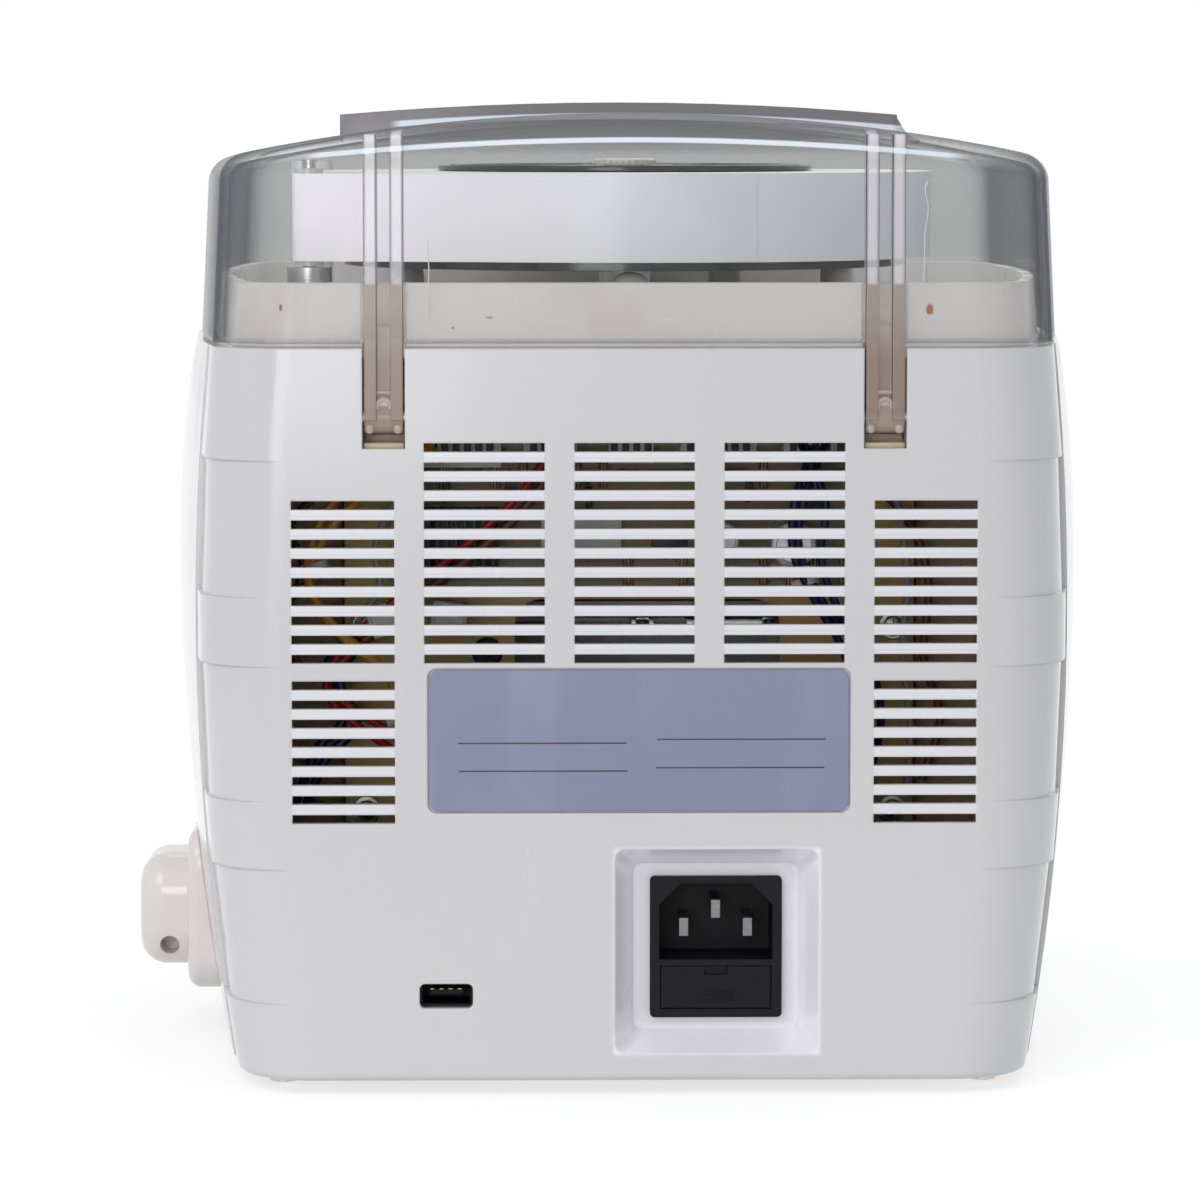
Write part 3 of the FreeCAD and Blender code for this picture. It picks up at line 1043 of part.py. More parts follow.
hump_reach = WIDEST + " + hump_out"
hump_root = WIDEST + " - 14"
hump_base = plate("hump_base", "YZ", around("hump_y", "hump_flange_long / 2"),
                  around("hump_z + 1", "hump_flange_tall / 2"),
                  hump_root, WIDEST + " - 3", "8")
round_body(hump_base, "3", lambda edge: edge.BoundBox.XMin > (sheet.band_half_width + sheet.bulge_out) - 3.1)
hump_dome = plate("hump_dome", "YZ", around("hump_y", "hump_long / 2"), around("hump_z", "hump_tall / 2"),
                  hump_root,
                  hump_reach, "9")
hump_face = sheet.band_half_width + sheet.bulge_out + sheet.hump_out
round_body(hump_dome, "6", lambda edge: edge.BoundBox.XMin > hump_face - 0.1)
hump_hole = rod("hump_hole", "y", hump_reach + " - 7", "hump_y + 6", "hump_z - 7.6", "hump_hole", "20")
node("side_housing", cut("side_housing", fuse("hump_solid", hump_base, hump_dome), front_outer, hump_hole))

# ---- the leads inside the case --------------------------------------------------------------

def lead(name, points, radius):
    """A wire of straight runs joined by tangent arcs, as a round tube."""
    spots = [FreeCAD.Vector(*point) for point in points]
    edges, at = [], spots[0]
    for before, corner, after in zip(spots, spots[1:], spots[2:]):
        into, out = (corner - before).normalize(), (after - corner).normalize()
        reach = 0.45 * min((corner - before).Length, (after - corner).Length)
        half = into.getAngle(out) / 2
        bend = reach / math.tan(half)
        inward = (out - into).normalize()
        start, end = corner - into * reach, corner + out * reach
        middle = corner + inward * (math.hypot(bend, reach) - bend)
        edges += [Part.LineSegment(at, start), Part.Arc(start, middle, end)]
        at = end
    edges.append(Part.LineSegment(at, spots[-1]))
    path = wire_of(edges)
    ring = Part.Wire(Part.makeCircle(radius, spots[0], spots[1] - spots[0]))
    tube = path.makePipeShell([ring], True, False)
    expected = math.pi * radius ** 2 * path.Length
    if abs(tube.Volume / expected - 1) > 0.02:
        raise RuntimeError("%s is not a plain tube" % name)
    return made(name, tube)


plug_face = sheet.chassis_back + 14.6
inlet_back = sheet.rear_y - sheet.pocket_deep - sheet.inlet_deep
port_back = sheet.rear_y - sheet.wall - 0.1 - sheet.port_deep
LEAD = 0.9
yellow = [(44, plug_face + 1, 139), (44, plug_face + 6, 139), (55, plug_face + 10, 133),
          (67, plug_face + 11, 123),
          (73, plug_face + 11, 110), (65, plug_face + 11, 99), (54, plug_face + 10, 91),
          (50, plug_face + 11, 76),
          (49, plug_face + 12, 58), (46, plug_face + 11, 42), (sheet.port_x, plug_face + 9, 30),
          (sheet.port_x, port_back - 8, sheet.port_z), (sheet.port_x, port_back, sheet.port_z)]
blue = [(-40, plug_face, 139), (-40, plug_face + 6, 139), (-36, plug_face + 10, 129),
        (-35, plug_face + 9, 117),
        (-41, plug_face + 8, 105), (-48, plug_face + 6, 94), (-50, plug_face + 3, 80),
        (-46, plug_face - 2, 65),
        (-37, plug_face - 5, 54), (-27, plug_face - 6, 44), (sheet.pocket_x - 6, inlet_back - 8, 36),
        (sheet.pocket_x - 6, inlet_back, 36)]
red = [(18, plug_face, 139), (18, plug_face + 6, 139), (25, plug_face + 9, 129), (37, plug_face + 9, 118),
       (51, plug_face + 6, 107), (63, plug_face + 5, 97), (70, plug_face + 5, 86), (61, plug_face + 4, 77),
       (47, plug_face + 2, 68), (35, plug_face - 1, 54), (25, plug_face - 6, 42), (22, plug_face - 14, 32),
       (22, plug_face - 26, 29), (18, plug_face - 38, 28), (9, plug_face - 48, 27), (2, 35, 27),
       (-2, 35, 27)]
for name, route in (("yellow_lead", yellow), ("blue_lead", blue), ("red_lead", red)):
    node(name, lead(name, route, LEAD))

# ---- check and write ------------------------------------------------------------------------

doc.recompute()
for thing in doc.Objects:
    if "Invalid" in thing.State or "Error" in thing.State:
        raise RuntimeError("%s failed: %s" % (thing.Name, thing.State))
for thing in sub_parts:
    if thing.Shape.isNull() or not thing.Shape.isValid():
        raise RuntimeError("%s has no valid shape" % thing.Label)
os.makedirs("parts", exist_ok=True)
for thing in sub_parts:
    thing.Shape.exportStep("parts/%s.step" % thing.Label)
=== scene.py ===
"""Looks for a desktop banknote strapping machine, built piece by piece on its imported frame."""
import math
import random

import bmesh
import bpy
from mathutils import Matrix, Vector


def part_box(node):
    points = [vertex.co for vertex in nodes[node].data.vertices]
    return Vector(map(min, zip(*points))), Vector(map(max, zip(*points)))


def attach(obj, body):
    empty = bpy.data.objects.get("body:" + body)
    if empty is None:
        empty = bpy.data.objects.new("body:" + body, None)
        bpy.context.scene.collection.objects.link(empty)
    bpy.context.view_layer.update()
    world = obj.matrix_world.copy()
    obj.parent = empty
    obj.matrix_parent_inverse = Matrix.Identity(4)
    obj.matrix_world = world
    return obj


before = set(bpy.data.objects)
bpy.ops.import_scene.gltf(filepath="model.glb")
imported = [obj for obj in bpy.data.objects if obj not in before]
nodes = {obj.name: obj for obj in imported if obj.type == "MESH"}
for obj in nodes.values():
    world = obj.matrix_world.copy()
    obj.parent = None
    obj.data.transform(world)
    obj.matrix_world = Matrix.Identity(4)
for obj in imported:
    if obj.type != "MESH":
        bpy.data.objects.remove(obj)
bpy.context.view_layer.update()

# ---- The view, the floor and the light ------------------------------------------------------
# A long lens from behind and a little above, a white floor that runs out of sight, and big
# soft lamps in a pale room, so that colours come out about as they are written.

REAR_WALL = 0.125
MACHINE_X = -0.0042
eye = Vector((0.0208, REAR_WALL + 1.100, 0.211))
aim = Vector((0.0033, REAR_WALL, 0.1086))
camera = bpy.data.objects.new("camera", bpy.data.cameras.new("camera"))
camera.data.sensor_width = 36
camera.data.lens = 153.1
camera.data.clip_start, camera.data.clip_end = 0.05, 30
camera.location = eye
camera.rotation_euler = (aim - eye).to_track_quat("-Z", "Y").to_euler()
link = bpy.context.scene.collection.objects.link
link(camera)
bpy.context.scene.camera = camera
bpy.context.scene.view_settings.view_transform = "Standard"


class Socket:
    """One output in a finish's node tree. A sum on it adds its Math nodes."""

    def __init__(self, tree, out=None):
        self.tree, self.out = tree, out

    def other(self, kind, settings, sockets, out=0):
        """Any other node: its type, its settings, set first, and what feeds its sockets."""
        made = self.tree.nodes.new(kind)
        for name, value in settings.items():
            setattr(made, name, value)
        for name, value in sockets.items():
            if isinstance(value, Socket):
                self.tree.links.new(value.out, made.inputs[name])
            else:
                made.inputs[name].default_value = value
        return Socket(self.tree, made.outputs[out] if made.outputs else None)

    def sum(self, operation, one, two=0.0):
        return self.other("ShaderNodeMath", {"operation": operation}, {0: one, 1: two})

    def vector(self, operation, two=(0, 0, 0), out=0):
        return self.other("ShaderNodeVectorMath", {"operation": operation}, {0: self, 1: two}, out)

    def __add__(self, two):
        return self.sum("ADD", self, two)

    def __radd__(self, two):
        return self.sum("ADD", two, self)

    def __sub__(self, two):
        return self.sum("SUBTRACT", self, two)

    def __rsub__(self, two):
        return self.sum("SUBTRACT", two, self)

    def __mul__(self, two):
        return self.sum("MULTIPLY", self, two)

    def __rmul__(self, two):
        return self.sum("MULTIPLY", two, self)

    def __abs__(self):
        return self.sum("ABSOLUTE", self)


def rays(tree, *names):
    """1 where a ray is of one of the named kinds, and else 0."""
    kinds = [tree.other("ShaderNodeLightPath", {}, {}, name) for name in names]
    most = kinds[0]
    for kind in kinds[1:]:
        most = tree.sum("MAXIMUM", most, kind)
    return most


# From the camera, a mirror or a clear piece, the room and the floor look plain white.
LOOKED_AT = ("Is Camera Ray", "Is Glossy Ray", "Is Transmission Ray")
ROOM_LIGHT = 0.58
pale_room = bpy.data.worlds.new("pale_room")
bpy.context.scene.world = pale_room
pale_room.use_nodes = True
pale_room.node_tree.nodes.clear()
room = Socket(pale_room.node_tree)
dim = room.other("ShaderNodeBackground", {}, {"Color": (0.94, 0.96, 1.0, 1), "Strength": ROOM_LIGHT})
bright = room.other("ShaderNodeBackground", {}, {"Color": (1, 1, 1, 1), "Strength": 1.0})
room.other("ShaderNodeOutputWorld", {}, {"Surface": room.other(
    "ShaderNodeMixShader", {}, {0: rays(room, *LOOKED_AT), 1: dim, 2: bright})})


def lamp(name, place, target, size, power):
    """A large square soft lamp that looks at a point of the machine."""
    light = bpy.data.lights.new(name, "AREA")
    light.size, light.energy = size, power
    holder = bpy.data.objects.new(name, light)
    holder.location = place
    holder.rotation_euler = (Vector(target) - Vector(place)).to_track_quat("-Z", "Y").to_euler()
    link(holder)


lamp("key_lamp", (1.1, 1.4, 1.5), (0, 0, 0.1), 1.2, 12)
lamp("back_lamp", (0.45, 2.3, 0.35), (0, 0, 0.1), 0.8, 9)
lamp("front_lamp", (-0.5, -1.6, 1.3), (0, 0, 0.1), 1.4, 13)


def begin(name):
    """Start a finish. Gives the material and its Object coordinates."""
    material = bpy.data.materials.new(name)
    material.use_nodes = True
    material.node_tree.nodes.clear()
    return material, Socket(material.node_tree).other("ShaderNodeTexCoord", {}, {}, "Object")


def step(value, low, high):
    """0 below low, 1 above high, and even between them."""
    return value.other("ShaderNodeMapRange", {}, {"Value": value, "From Min": low, "From Max": high})


def tint(share, one, two):
    """From colour one to colour two by a share. Each is a socket or its red, green and blue."""
    one, two = [colour if isinstance(colour, Socket) else (*colour, 1) for colour in (one, two)]
    return share.other("ShaderNodeMix", {"data_type": "RGBA"}, {0: share, 6: one, 7: two}, 2)


floor_mesh = bpy.data.meshes.new("floor")
floor_mesh.from_pydata([(-4, -4, 0), (4, -4, 0), (4, 4, 0), (-4, 4, 0)], [], [(0, 1, 2, 3)])
floor = bpy.data.objects.new("floor", floor_mesh)
link(floor)
floor_paint, ground = begin("floor_white")
far = step(ground.vector("LENGTH", out="Value"), 0.12, 0.34)
seen = rays(ground, *LOOKED_AT)
matt = ground.other("ShaderNodeBsdfDiffuse", {}, {"Color": tint(seen, (0.86, 0.86, 0.86), (1, 1, 1))})
glow = ground.other("ShaderNodeEmission", {}, {"Color": (1, 1, 1, 1), "Strength": 1.15})
ground.other("ShaderNodeOutputMaterial", {}, {"Surface": ground.other(
    "ShaderNodeMixShader", {}, {0: seen * (0.6 + 0.4 * far), 1: matt, 2: glow})})
floor_mesh.materials.append(floor_paint)

# ---- Base sheet, feet and their screws ------------------------------------------------------
# The base is zinc-plated sheet with the yellow-brown passivation of cheap chassis work. Four
# moulded rubber feet and four case screws go through it from below.


def grain(at, size, detail=3.0, stretch=(1, 1, 1)):
    """Cloudy noise with lumps about so many metres across, squeezed along an axis by stretch."""
    shaped = at.other("ShaderNodeMapping", {}, {"Vector": at, "Scale": stretch})
    return at.other("ShaderNodeTexNoise", {}, {"Vector": shaped, "Scale": 1 / size, "Detail": detail}, 0)


def part_of(at, axis):
    """One coordinate: 0, 1 or 2 for x, y or z."""
    return at.other("ShaderNodeSeparateXYZ", {}, {"Vector": at}, axis)


def coat(material, at, colour, rough, height=None, lift=0.0001, edge=0.0, **fixed):
    """Close a finish: colour and roughness, bumps of a height, softened edges, fixed values."""
    sockets = {"Base Color": colour, "Roughness": rough}
    sockets.update({name.replace("_", " "): value for name, value in fixed.items()})
    if edge:
        sockets["Normal"] = at.other("ShaderNodeBevel", {"samples": 6}, {"Radius": edge})
    if height is not None:
        soft = {"Normal": sockets["Normal"]} if edge else {}
        sockets["Normal"] = at.other("ShaderNodeBump", {}, {"Height": height, "Distance": lift, **soft})
    at.other("ShaderNodeOutputMaterial", {}, {"Surface": at.other("ShaderNodeBsdfPrincipled", {}, sockets)})
    return material


def plain(name, size, one, two, rough, edge=0.0, detail=3.0, bump=None, **fixed):
    """A whole finish of two clouded colours. A bump has its own size and height."""
    material, at = begin(name)
    height, lift = (grain(at, bump[0]), bump[1]) if bump else (None, 0.0)
    return coat(material, at, tint(grain(at, size, detail), one, two), rough, height, lift, edge, **fixed)


def wear(material, *names):
    """Give CAD nodes a finish."""
    for name in names:
        nodes[name].data.materials.clear()
        nodes[name].data.materials.append(material)


def slab(low, high, soft=0.0002):
    """A block between two corners, in millimetres, with its edges rounded."""
    form = bmesh.new()
    bmesh.ops.create_cube(form, size=1.0)
    for spot in form.verts:
        spot.co = Vector([(a + (c + 0.5) * (b - a)) / 1000 for a, b, c in zip(low, high, spot.co)])
    bmesh.ops.bevel(form, geom=form.edges[:], offset=soft, segments=2, affect="EDGES", profile=0.5)
    return form


def skinned(form, loops):
    """Join loops of corners in a row with faces, and close both ends."""
    for low, high in zip(loops, loops[1:]):
        for k in range(len(low)):
            form.faces.new((low[k - 1], low[k], high[k], high[k - 1]))
    form.faces.new(list(reversed(loops[0])))
    form.faces.new(loops[-1])
    return form


def turned(outline, sides=28):
    """A lathe form on the Z axis from its (radius, height) pairs, in millimetres, foot to crown."""
    form = bmesh.new()
    return skinned(form, [[form.verts.new((r * math.cos(k * math.tau / sides) / 1000,
                                           r * math.sin(k * math.tau / sides) / 1000, h / 1000))
                           for k in range(sides)] for r, h in outline])


def mesh_of(name, *forms, smooth=0.6):
    """One mesh from some forms, with edges sharper than an angle kept sharp."""
    whole = bmesh.new()
    for form in forms:
        loose = bpy.data.meshes.new("loose")
        form.to_mesh(loose)
        form.free()
        whole.from_mesh(loose)
        bpy.data.meshes.remove(loose)
    mesh = bpy.data.meshes.new(name)
    whole.to_mesh(mesh)
    whole.free()
    mesh.shade_smooth()
    mesh.set_sharp_from_angle(angle=smooth)
    return mesh


def fix(name, mesh, finish, body):
    """Put a plain mesh on a body as a finished piece."""
    piece = bpy.data.objects.new(name, mesh)
    link(piece)
    if finish:
        mesh.materials.clear()
        mesh.materials.append(finish)
    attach(piece, body)
    return piece


def new_tree(name, **inputs):
    """A Geometry Nodes tree with named inputs. Gives its start and a socket for each input."""
    tree = bpy.data.node_groups.new(name, "GeometryNodeTree")
    tree.interface.new_socket("Shape", in_out="OUTPUT", socket_type="NodeSocketGeometry")
    for label, kind in inputs.items():
        tree.interface.new_socket(label, in_out="INPUT", socket_type="NodeSocket" + kind)
    gate = tree.nodes.new("NodeGroupInput")
    return Socket(tree), [Socket(tree, gate.outputs[label]) for label in inputs]


def close_tree(start, shape, finish):
    """Every tree ends alike: its copies are made real and get their finish."""
    real = start.other("GeometryNodeRealizeInstances", {}, {0: shape})
    start.other("NodeGroupOutput", {}, {
        0: start.other("GeometryNodeSetMaterial", {}, {0: real, "Material": finish})})
    return start.tree


def grow(name, tree, mesh, body, slot, **values):
    """Run a tree on a mesh of points or lines, keep the plain mesh, put it on a body."""
    holder = bpy.data.objects.new(name + "_grown", mesh)
    link(holder)
    modifier = holder.modifiers.new("tree", "NODES")
    modifier.node_group = tree
    for entry in tree.interface.items_tree:
        if entry.in_out == "INPUT" and entry.name in values:
            modifier[entry.identifier] = values[entry.name]
    seen_by = bpy.context.evaluated_depsgraph_get()
    made = bpy.data.meshes.new_from_object(holder.evaluated_get(seen_by))
    bpy.data.objects.remove(holder)
    return fix(name, made, None, body)


# Copies of one form on points. Each point keeps its own turn.
start, (places, form, size, paint) = new_tree(
    "copies", Places="Geometry", Form="Object", Size="Float", Finish="Material")
turn = start.other("GeometryNodeInputNamedAttribute", {"data_type": "FLOAT_VECTOR"}, {"Name": "turn"})
pattern = start.other("GeometryNodeObjectInfo", {}, {"Object": form, "As Instance": True}, "Geometry")
COPIES = close_tree(start, start.other("GeometryNodeInstanceOnPoints", {}, {
    "Points": places, "Instance": pattern,
    "Scale": start.other("ShaderNodeCombineXYZ", {}, {0: size, 1: size, 2: size}),
    "Rotation": start.other("FunctionNodeEulerToRotation", {}, {0: turn})}), paint)

# A round bar of one radius along lines. A closed line gives a ring.
start, (lines, radius, sides, pitch, paint) = new_tree(
    "round_bar", Lines="Geometry", Radius="Float", Sides="Int", Pitch="Float", Finish="Material")
path = start.other("GeometryNodeCurveSplineType", {"spline_type": "CATMULL_ROM"}, {
    0: start.other("GeometryNodeMeshToCurve", {}, {0: lines})})
even = start.other("GeometryNodeResampleCurve", {"mode": "LENGTH"}, {"Curve": path, "Length": pitch})
section = start.other("GeometryNodeCurvePrimitiveCircle", {"mode": "RADIUS"},
                      {"Resolution": sides, "Radius": radius})
ROUND_BAR = close_tree(start, start.other("GeometryNodeSetShadeSmooth", {}, {0: start.other(
    "GeometryNodeCurveToMesh", {}, {"Curve": even, "Profile Curve": section, "Fill Caps": True})}), paint)


def copies(name, mesh, places, finish, body, slot, size=1.0):
    """Repeat a mesh at places in millimetres, each (x, y, z) or (x, y, z, and its turn in degrees)."""
    pattern = bpy.data.objects.new(name + "_form", mesh)
    spots = bpy.data.meshes.new(name)
    spots.from_pydata([[part / 1000 for part in place[:3]] for place in places], [], [])
    turns = spots.attributes.new("turn", "FLOAT_VECTOR", "POINT")
    for spot, place in zip(turns.data, places):
        spot.vector = [math.radians(part) for part in (place[3:] or (0, 0, 0))]
    grow(name, COPIES, spots, body, slot, Form=pattern, Size=size, Finish=finish)
    bpy.data.objects.remove(pattern)


def bars(name, routes, radius, finish, body, slot, sides=10, pitch=0.0015, closed=False):
    """Round bars along routes of points in millimetres. Radius and pitch are in metres."""
    line, points, edges = bpy.data.meshes.new(name), [], []
    for route in routes:
        first = len(points)
        points += [[part / 1000 for part in spot] for spot in route]
        edges += [(k, k + 1) for k in range(first, len(points) - 1)]
        if closed:
            edges.append((len(points) - 1, first))
    line.from_pydata(points, edges, [])
    grow(name, ROUND_BAR, line, body, slot, Radius=radius, Sides=sides, Pitch=pitch, Finish=finish)


def ring(x, y, z, radius, axis="z", points=24):
    """Points of a circle in millimetres about an axis."""
    turns = [(radius * math.cos(k * math.tau / points), radius * math.sin(k * math.tau / points))
             for k in range(points)]
    return [{"x": (x, y + a, z + b), "y": (x + a, y, z + b), "z": (x + a, y + b, z)}[axis] for a, b in turns]


zinc, at = begin("yellow_zinc")
clouds = grain(at, 0.030, 3)
streaks = grain(at, 0.004, 2, (1, 1, 0.12))
passivated = tint(step(clouds, 0.35, 0.65), (0.62, 0.33, 0.14), (0.52, 0.42, 0.15))
coat(zinc, at, tint(step(streaks, 0.5, 0.85), passivated, (0.48, 0.46, 0.26)), 0.4 + 0.2 * clouds,
     streaks, 0.00003, 0.0003, Metallic=0.35)
rubber, at = begin("black_rubber")
dust = grain(at, 0.003, 5)
coat(rubber, at, tint(step(dust, 0.5, 0.8), (0.022, 0.022, 0.023), (0.07, 0.068, 0.065)), 0.72, dust,
     0.00008, 0.0004)
plated = plain("plated_screw", 0.002, (0.50, 0.50, 0.48), (0.62, 0.62, 0.61), 0.28, 0.0002, Metallic=1.0)
recess = plain("drive_recess", 0.0006, (0.05, 0.05, 0.05), (0.09, 0.09, 0.085), 0.5)
wear(zinc, "base_plate", "chassis_left", "chassis_right", "chassis_rear", "reel_bridge", "head_frame",
     "feed_bracket")
wear(rubber, "rubber_feet", "pinch_roller")
wear(plated, "case_screws")

FEET = [(x, y) for x in (-62.2, 53.8) for y in (-78, 92)]
bars("foot_ridges", [ring(x, y, z, 8.95) for x, y in FEET for z in (0.9, 2.1)], 0.00032, rubber, "machine",
     "rubber", 8, 0.0012, True)
CORNERS = ((-81.2, 114), (72.8, 114), (-79.7, -93), (71.3, -93))
cross = mesh_of("cross", slab((-1.5, -0.3, -0.05), (1.5, 0.3, 0.03), 0.00002),
                slab((-0.3, -1.5, -0.04), (0.3, 1.5, 0.02), 0.00002))
copies("base_screw_drives", cross, [(x, y, 0.32) for x, y in FEET] + [(x, y, 1.62) for x, y in CORNERS], recess,
       "machine", "dark_plastic")

# ---- Sealing head: guide block, cams and the three moving tools -----------------------------
# The block is milled aluminium between folded walls. Steel cams on one shaft push up the cutter,
# the heated pad and the rubber-faced press. The gear motor stands at the end of the shaft.

milled, at = begin("milled_aluminium")
cuts = grain(at, 0.0016, 2, (1, 0.06, 1))
coat(milled, at, tint(cuts, (0.58, 0.58, 0.60), (0.72, 0.72, 0.73)), 0.26 + 0.2 * cuts, cuts, 0.00001,
     0.0003, Metallic=1.0)
steel, at = begin("turned_steel")
oil = grain(at, 0.006, 4)
coat(steel, at, tint(step(oil, 0.35, 0.75), (0.46, 0.46, 0.47), (0.62, 0.61, 0.59)), 0.2 + 0.2 * oil,
     grain(at, 0.0008, 2, (0.05, 1, 1)), 0.00001, 0.0002, Metallic=1.0)
pad = plain("brown_silicone", 0.002, (0.22, 0.055, 0.03), (0.30, 0.09, 0.05), 0.6, 0.0003, 4, (0.0007, 0.00004))
can = plain("dark_motor_can", 0.004, (0.035, 0.037, 0.042), (0.06, 0.06, 0.065), 0.38, 0.0005, 4,
            (0.0006, 0.00003), Metallic=0.3)
wear(milled, "head_block", "heater_slide")
wear(steel, "camshaft", "cutter_slide", "guide_post", "reel_spindle", "hinge_pins")
wear(pad, "press_slide", "feed_roller")
wear(can, "drive_motor", "feed_motor")

bolt = mesh_of("bolt", turned([(2.1, -0.1), (2.2, 0.1), (2.2, 1.6), (2.0, 1.9), (1.3, 1.9), (1.2, 1.0)], 24))
copies("head_bolts", bolt, [(x, y, 86) for x in (-62, -42, -10.2, 29.4) for y in (-71.1, -50.9)], steel,
       "machine", "steel", 0.8)
MOTOR_Y, MOTOR_Z = -61, 46
bars("motor_seams", [ring(x, MOTOR_Y, MOTOR_Z, 18.05, "x", 40) for x in (-61, -59.6, -34)], 0.0003, steel,
     "machine", "steel", 8, 0.002, True)
tabs = [slab((-66.5, y - 1.4, MOTOR_Z - 0.3), (-64.4, y + 1.4, MOTOR_Z + 0.3), 0.0001)
        for y in (MOTOR_Y - 10, MOTOR_Y + 10)]
fix("motor_tabs", mesh_of("motor_tabs", *tabs), plated, "machine")

# ---- Chassis screws and plugs ---------------------------------------------------------------
# The folded walls are held to each other by pan-head screws with wide washers. Spare holes of
# the sheet are closed by small black plugs.

pan = mesh_of("pan", turned([(3.2, -0.1), (3.3, 0.15), (3.1, 0.35), (2.3, 0.4), (2.3, 0.9), (2.0, 1.4),
                             (1.2, 1.7), (0.3, 1.8)], 24))
CHASSIS_BACK = 74
SHEET_SCREWS = [(x, z) for x in (-64.0, 55.5) for z in (14, 56, 98, 142)]
copies("chassis_screws", pan, [(x, CHASSIS_BACK, z, -90, 0, 0) for x, z in SHEET_SCREWS], plated, "machine",
       "plated")
copies("chassis_screw_drives", cross, [(x, CHASSIS_BACK + 1.82, z, -90, 0, 45) for x, z in SHEET_SCREWS],
       recess, "machine", "dark_plastic")
plug = mesh_of("plug", turned([(3.4, -0.1), (3.5, 0.2), (3.0, 0.8), (1.4, 0.9), (1.2, 0.5), (0.2, 0.5)], 24))
copies("hole_plugs", plug, [(x, CHASSIS_BACK, z, -90, 0, 0) for x, z in ((-30, 84), (0, 70), (28, 92))], rubber,
       "machine", "rubber")

# ---- Insulating cards -----------------------------------------------------------------------
# Folded cards of brown pressed board stand beside the chassis, between it and the outer vents.
# A narrow flap of each lies on the wall's outer face, under the heads of two rivets.

pressed, at = begin("brown_pressed_board")
fibres = grain(at, 0.0012, 4, (0.3, 1, 1))
stain = step(grain(at, 0.03, 3), 0.4, 0.65)
near_wall = tint(0.5 * fibres + 0.5 * stain, (0.52, 0.29, 0.16), (0.42, 0.32, 0.16))
away = step(abs(part_of(at, 0) - MACHINE_X), 0.062, 0.068)
coat(pressed, at, tint(away, near_wall, tint(stain, (0.95, 0.66, 0.46), (0.88, 0.72, 0.46))), 0.6, fibres,
     0.00006)
LEFT_WALL, RIGHT_WALL = 60.3, -68.7
LEVELS = (24, 52, 80, 108, 134)
for side, wall, way in (("left", LEFT_WALL, 1), ("right", RIGHT_WALL, -1)):
    card = bmesh.new()
    fold = [(wall, 58), (wall, 70), (wall + way * 0.5, 72.5), (wall + way * 2.5, 74), (wall + way * 23, 75.5),
            (wall + way * 24.5, 77), (wall + way * 25, 84)]
    spots = [card.verts.new(Vector((x + way * 0.05, y, z)) / 1000) for x, y in fold for z in LEVELS]
    for k in range(len(fold) - 1):
        for row in range(len(LEVELS) - 1):
            low = len(LEVELS) * k + row
            high = low + len(LEVELS)
            card.faces.new((spots[low], spots[high], spots[high + 1], spots[low + 1]))
    bmesh.ops.solidify(card, geom=card.faces[:], thickness=0.0005)
    bmesh.ops.recalc_face_normals(card, faces=card.faces[:])
    fix("card_" + side, mesh_of("card_" + side, card), pressed, "machine")
copies("card_rivets", pan, [(x, 64, z, 0, turn, 0) for x, turn in ((60.9, 90), (-69.3, -90))
                            for z in (40, 118)], plated, "machine", "plated")

# ---- Transformer and control board ----------------------------------------------------------
# A laminated core with a taped coil stands on the base. The board hangs on posts at the back of
# the chassis, with its plugs along the top edge, where the vents let them show.

core, at = begin("varnished_core")
sheets = at.other("ShaderNodeTexWave", {"bands_direction": "Y"}, {"Vector": at, "Scale": 160.0})
coat(core, at, tint(sheets, (0.045, 0.04, 0.036), (0.10, 0.085, 0.07)), 0.45, sheets, 0.0001, 0.0004,
     Metallic=0.4)
green, at = begin("green_board")
tracks = at.other("ShaderNodeTexBrick", {}, {"Vector": at.other("ShaderNodeMapping", {}, {
    "Vector": at, "Rotation": (math.pi / 2, 0, 0)}), "Scale": 90.0, "Mortar Size": 0.03}, 1)
brown = step(grain(at, 0.02, 2), 0.42, 0.6)
coat(green, at, tint(tracks, tint(brown, (0.24, 0.19, 0.08), (0.32, 0.15, 0.07)),
                     (0.17, 0.19, 0.07)), 0.35, None, 0, 0, Coat_Weight=0.4)
ivory = plain("ivory_plug", 0.003, (0.76, 0.76, 0.72), (0.86, 0.86, 0.83), 0.42, 0.0004)
amber, at = begin("amber_tape")
wraps = at.other("ShaderNodeTexWave", {"bands_direction": "Z"},
                 {"Vector": at, "Scale": 110.0, "Distortion": 0.6})
coat(amber, at, tint(wraps, (0.50, 0.26, 0.04), (0.62, 0.36, 0.07)), 0.22, wraps, 0.00005, 0.0003)
copper = plain("enamelled_copper", 0.003, (0.36, 0.11, 0.03), (0.48, 0.17, 0.06), 0.25, Metallic=0.8)
wear(core, "transformer")
wear(green, "control_board", "panel_board")
wear(ivory, "board_parts")

# The windings show at both ends of the coil, as turns of wire round its box.
start, (count, wide, tall, pitch, radius, paint) = new_tree(
    "coil_turns", Count="Int", Wide="Float", Tall="Float", Pitch="Float", Radius="Float", Finish="Material")
loop = start.other("GeometryNodeFilletCurve", {"mode": "POLY"}, {
    "Curve": start.other("GeometryNodeCurvePrimitiveQuadrilateral", {"mode": "RECTANGLE"},
                         {"Width": wide, "Height": tall}), "Count": 5, "Radius": 0.005})
wire = start.other("GeometryNodeCurveToMesh", {}, {"Curve": loop, "Profile Curve": start.other(
    "GeometryNodeCurvePrimitiveCircle", {"mode": "RADIUS"}, {"Resolution": 6, "Radius": radius})})
row = start.other("GeometryNodeMeshLine", {"mode": "OFFSET"}, {
    "Count": count, "Offset": start.other("ShaderNodeCombineXYZ", {}, {2: pitch})})
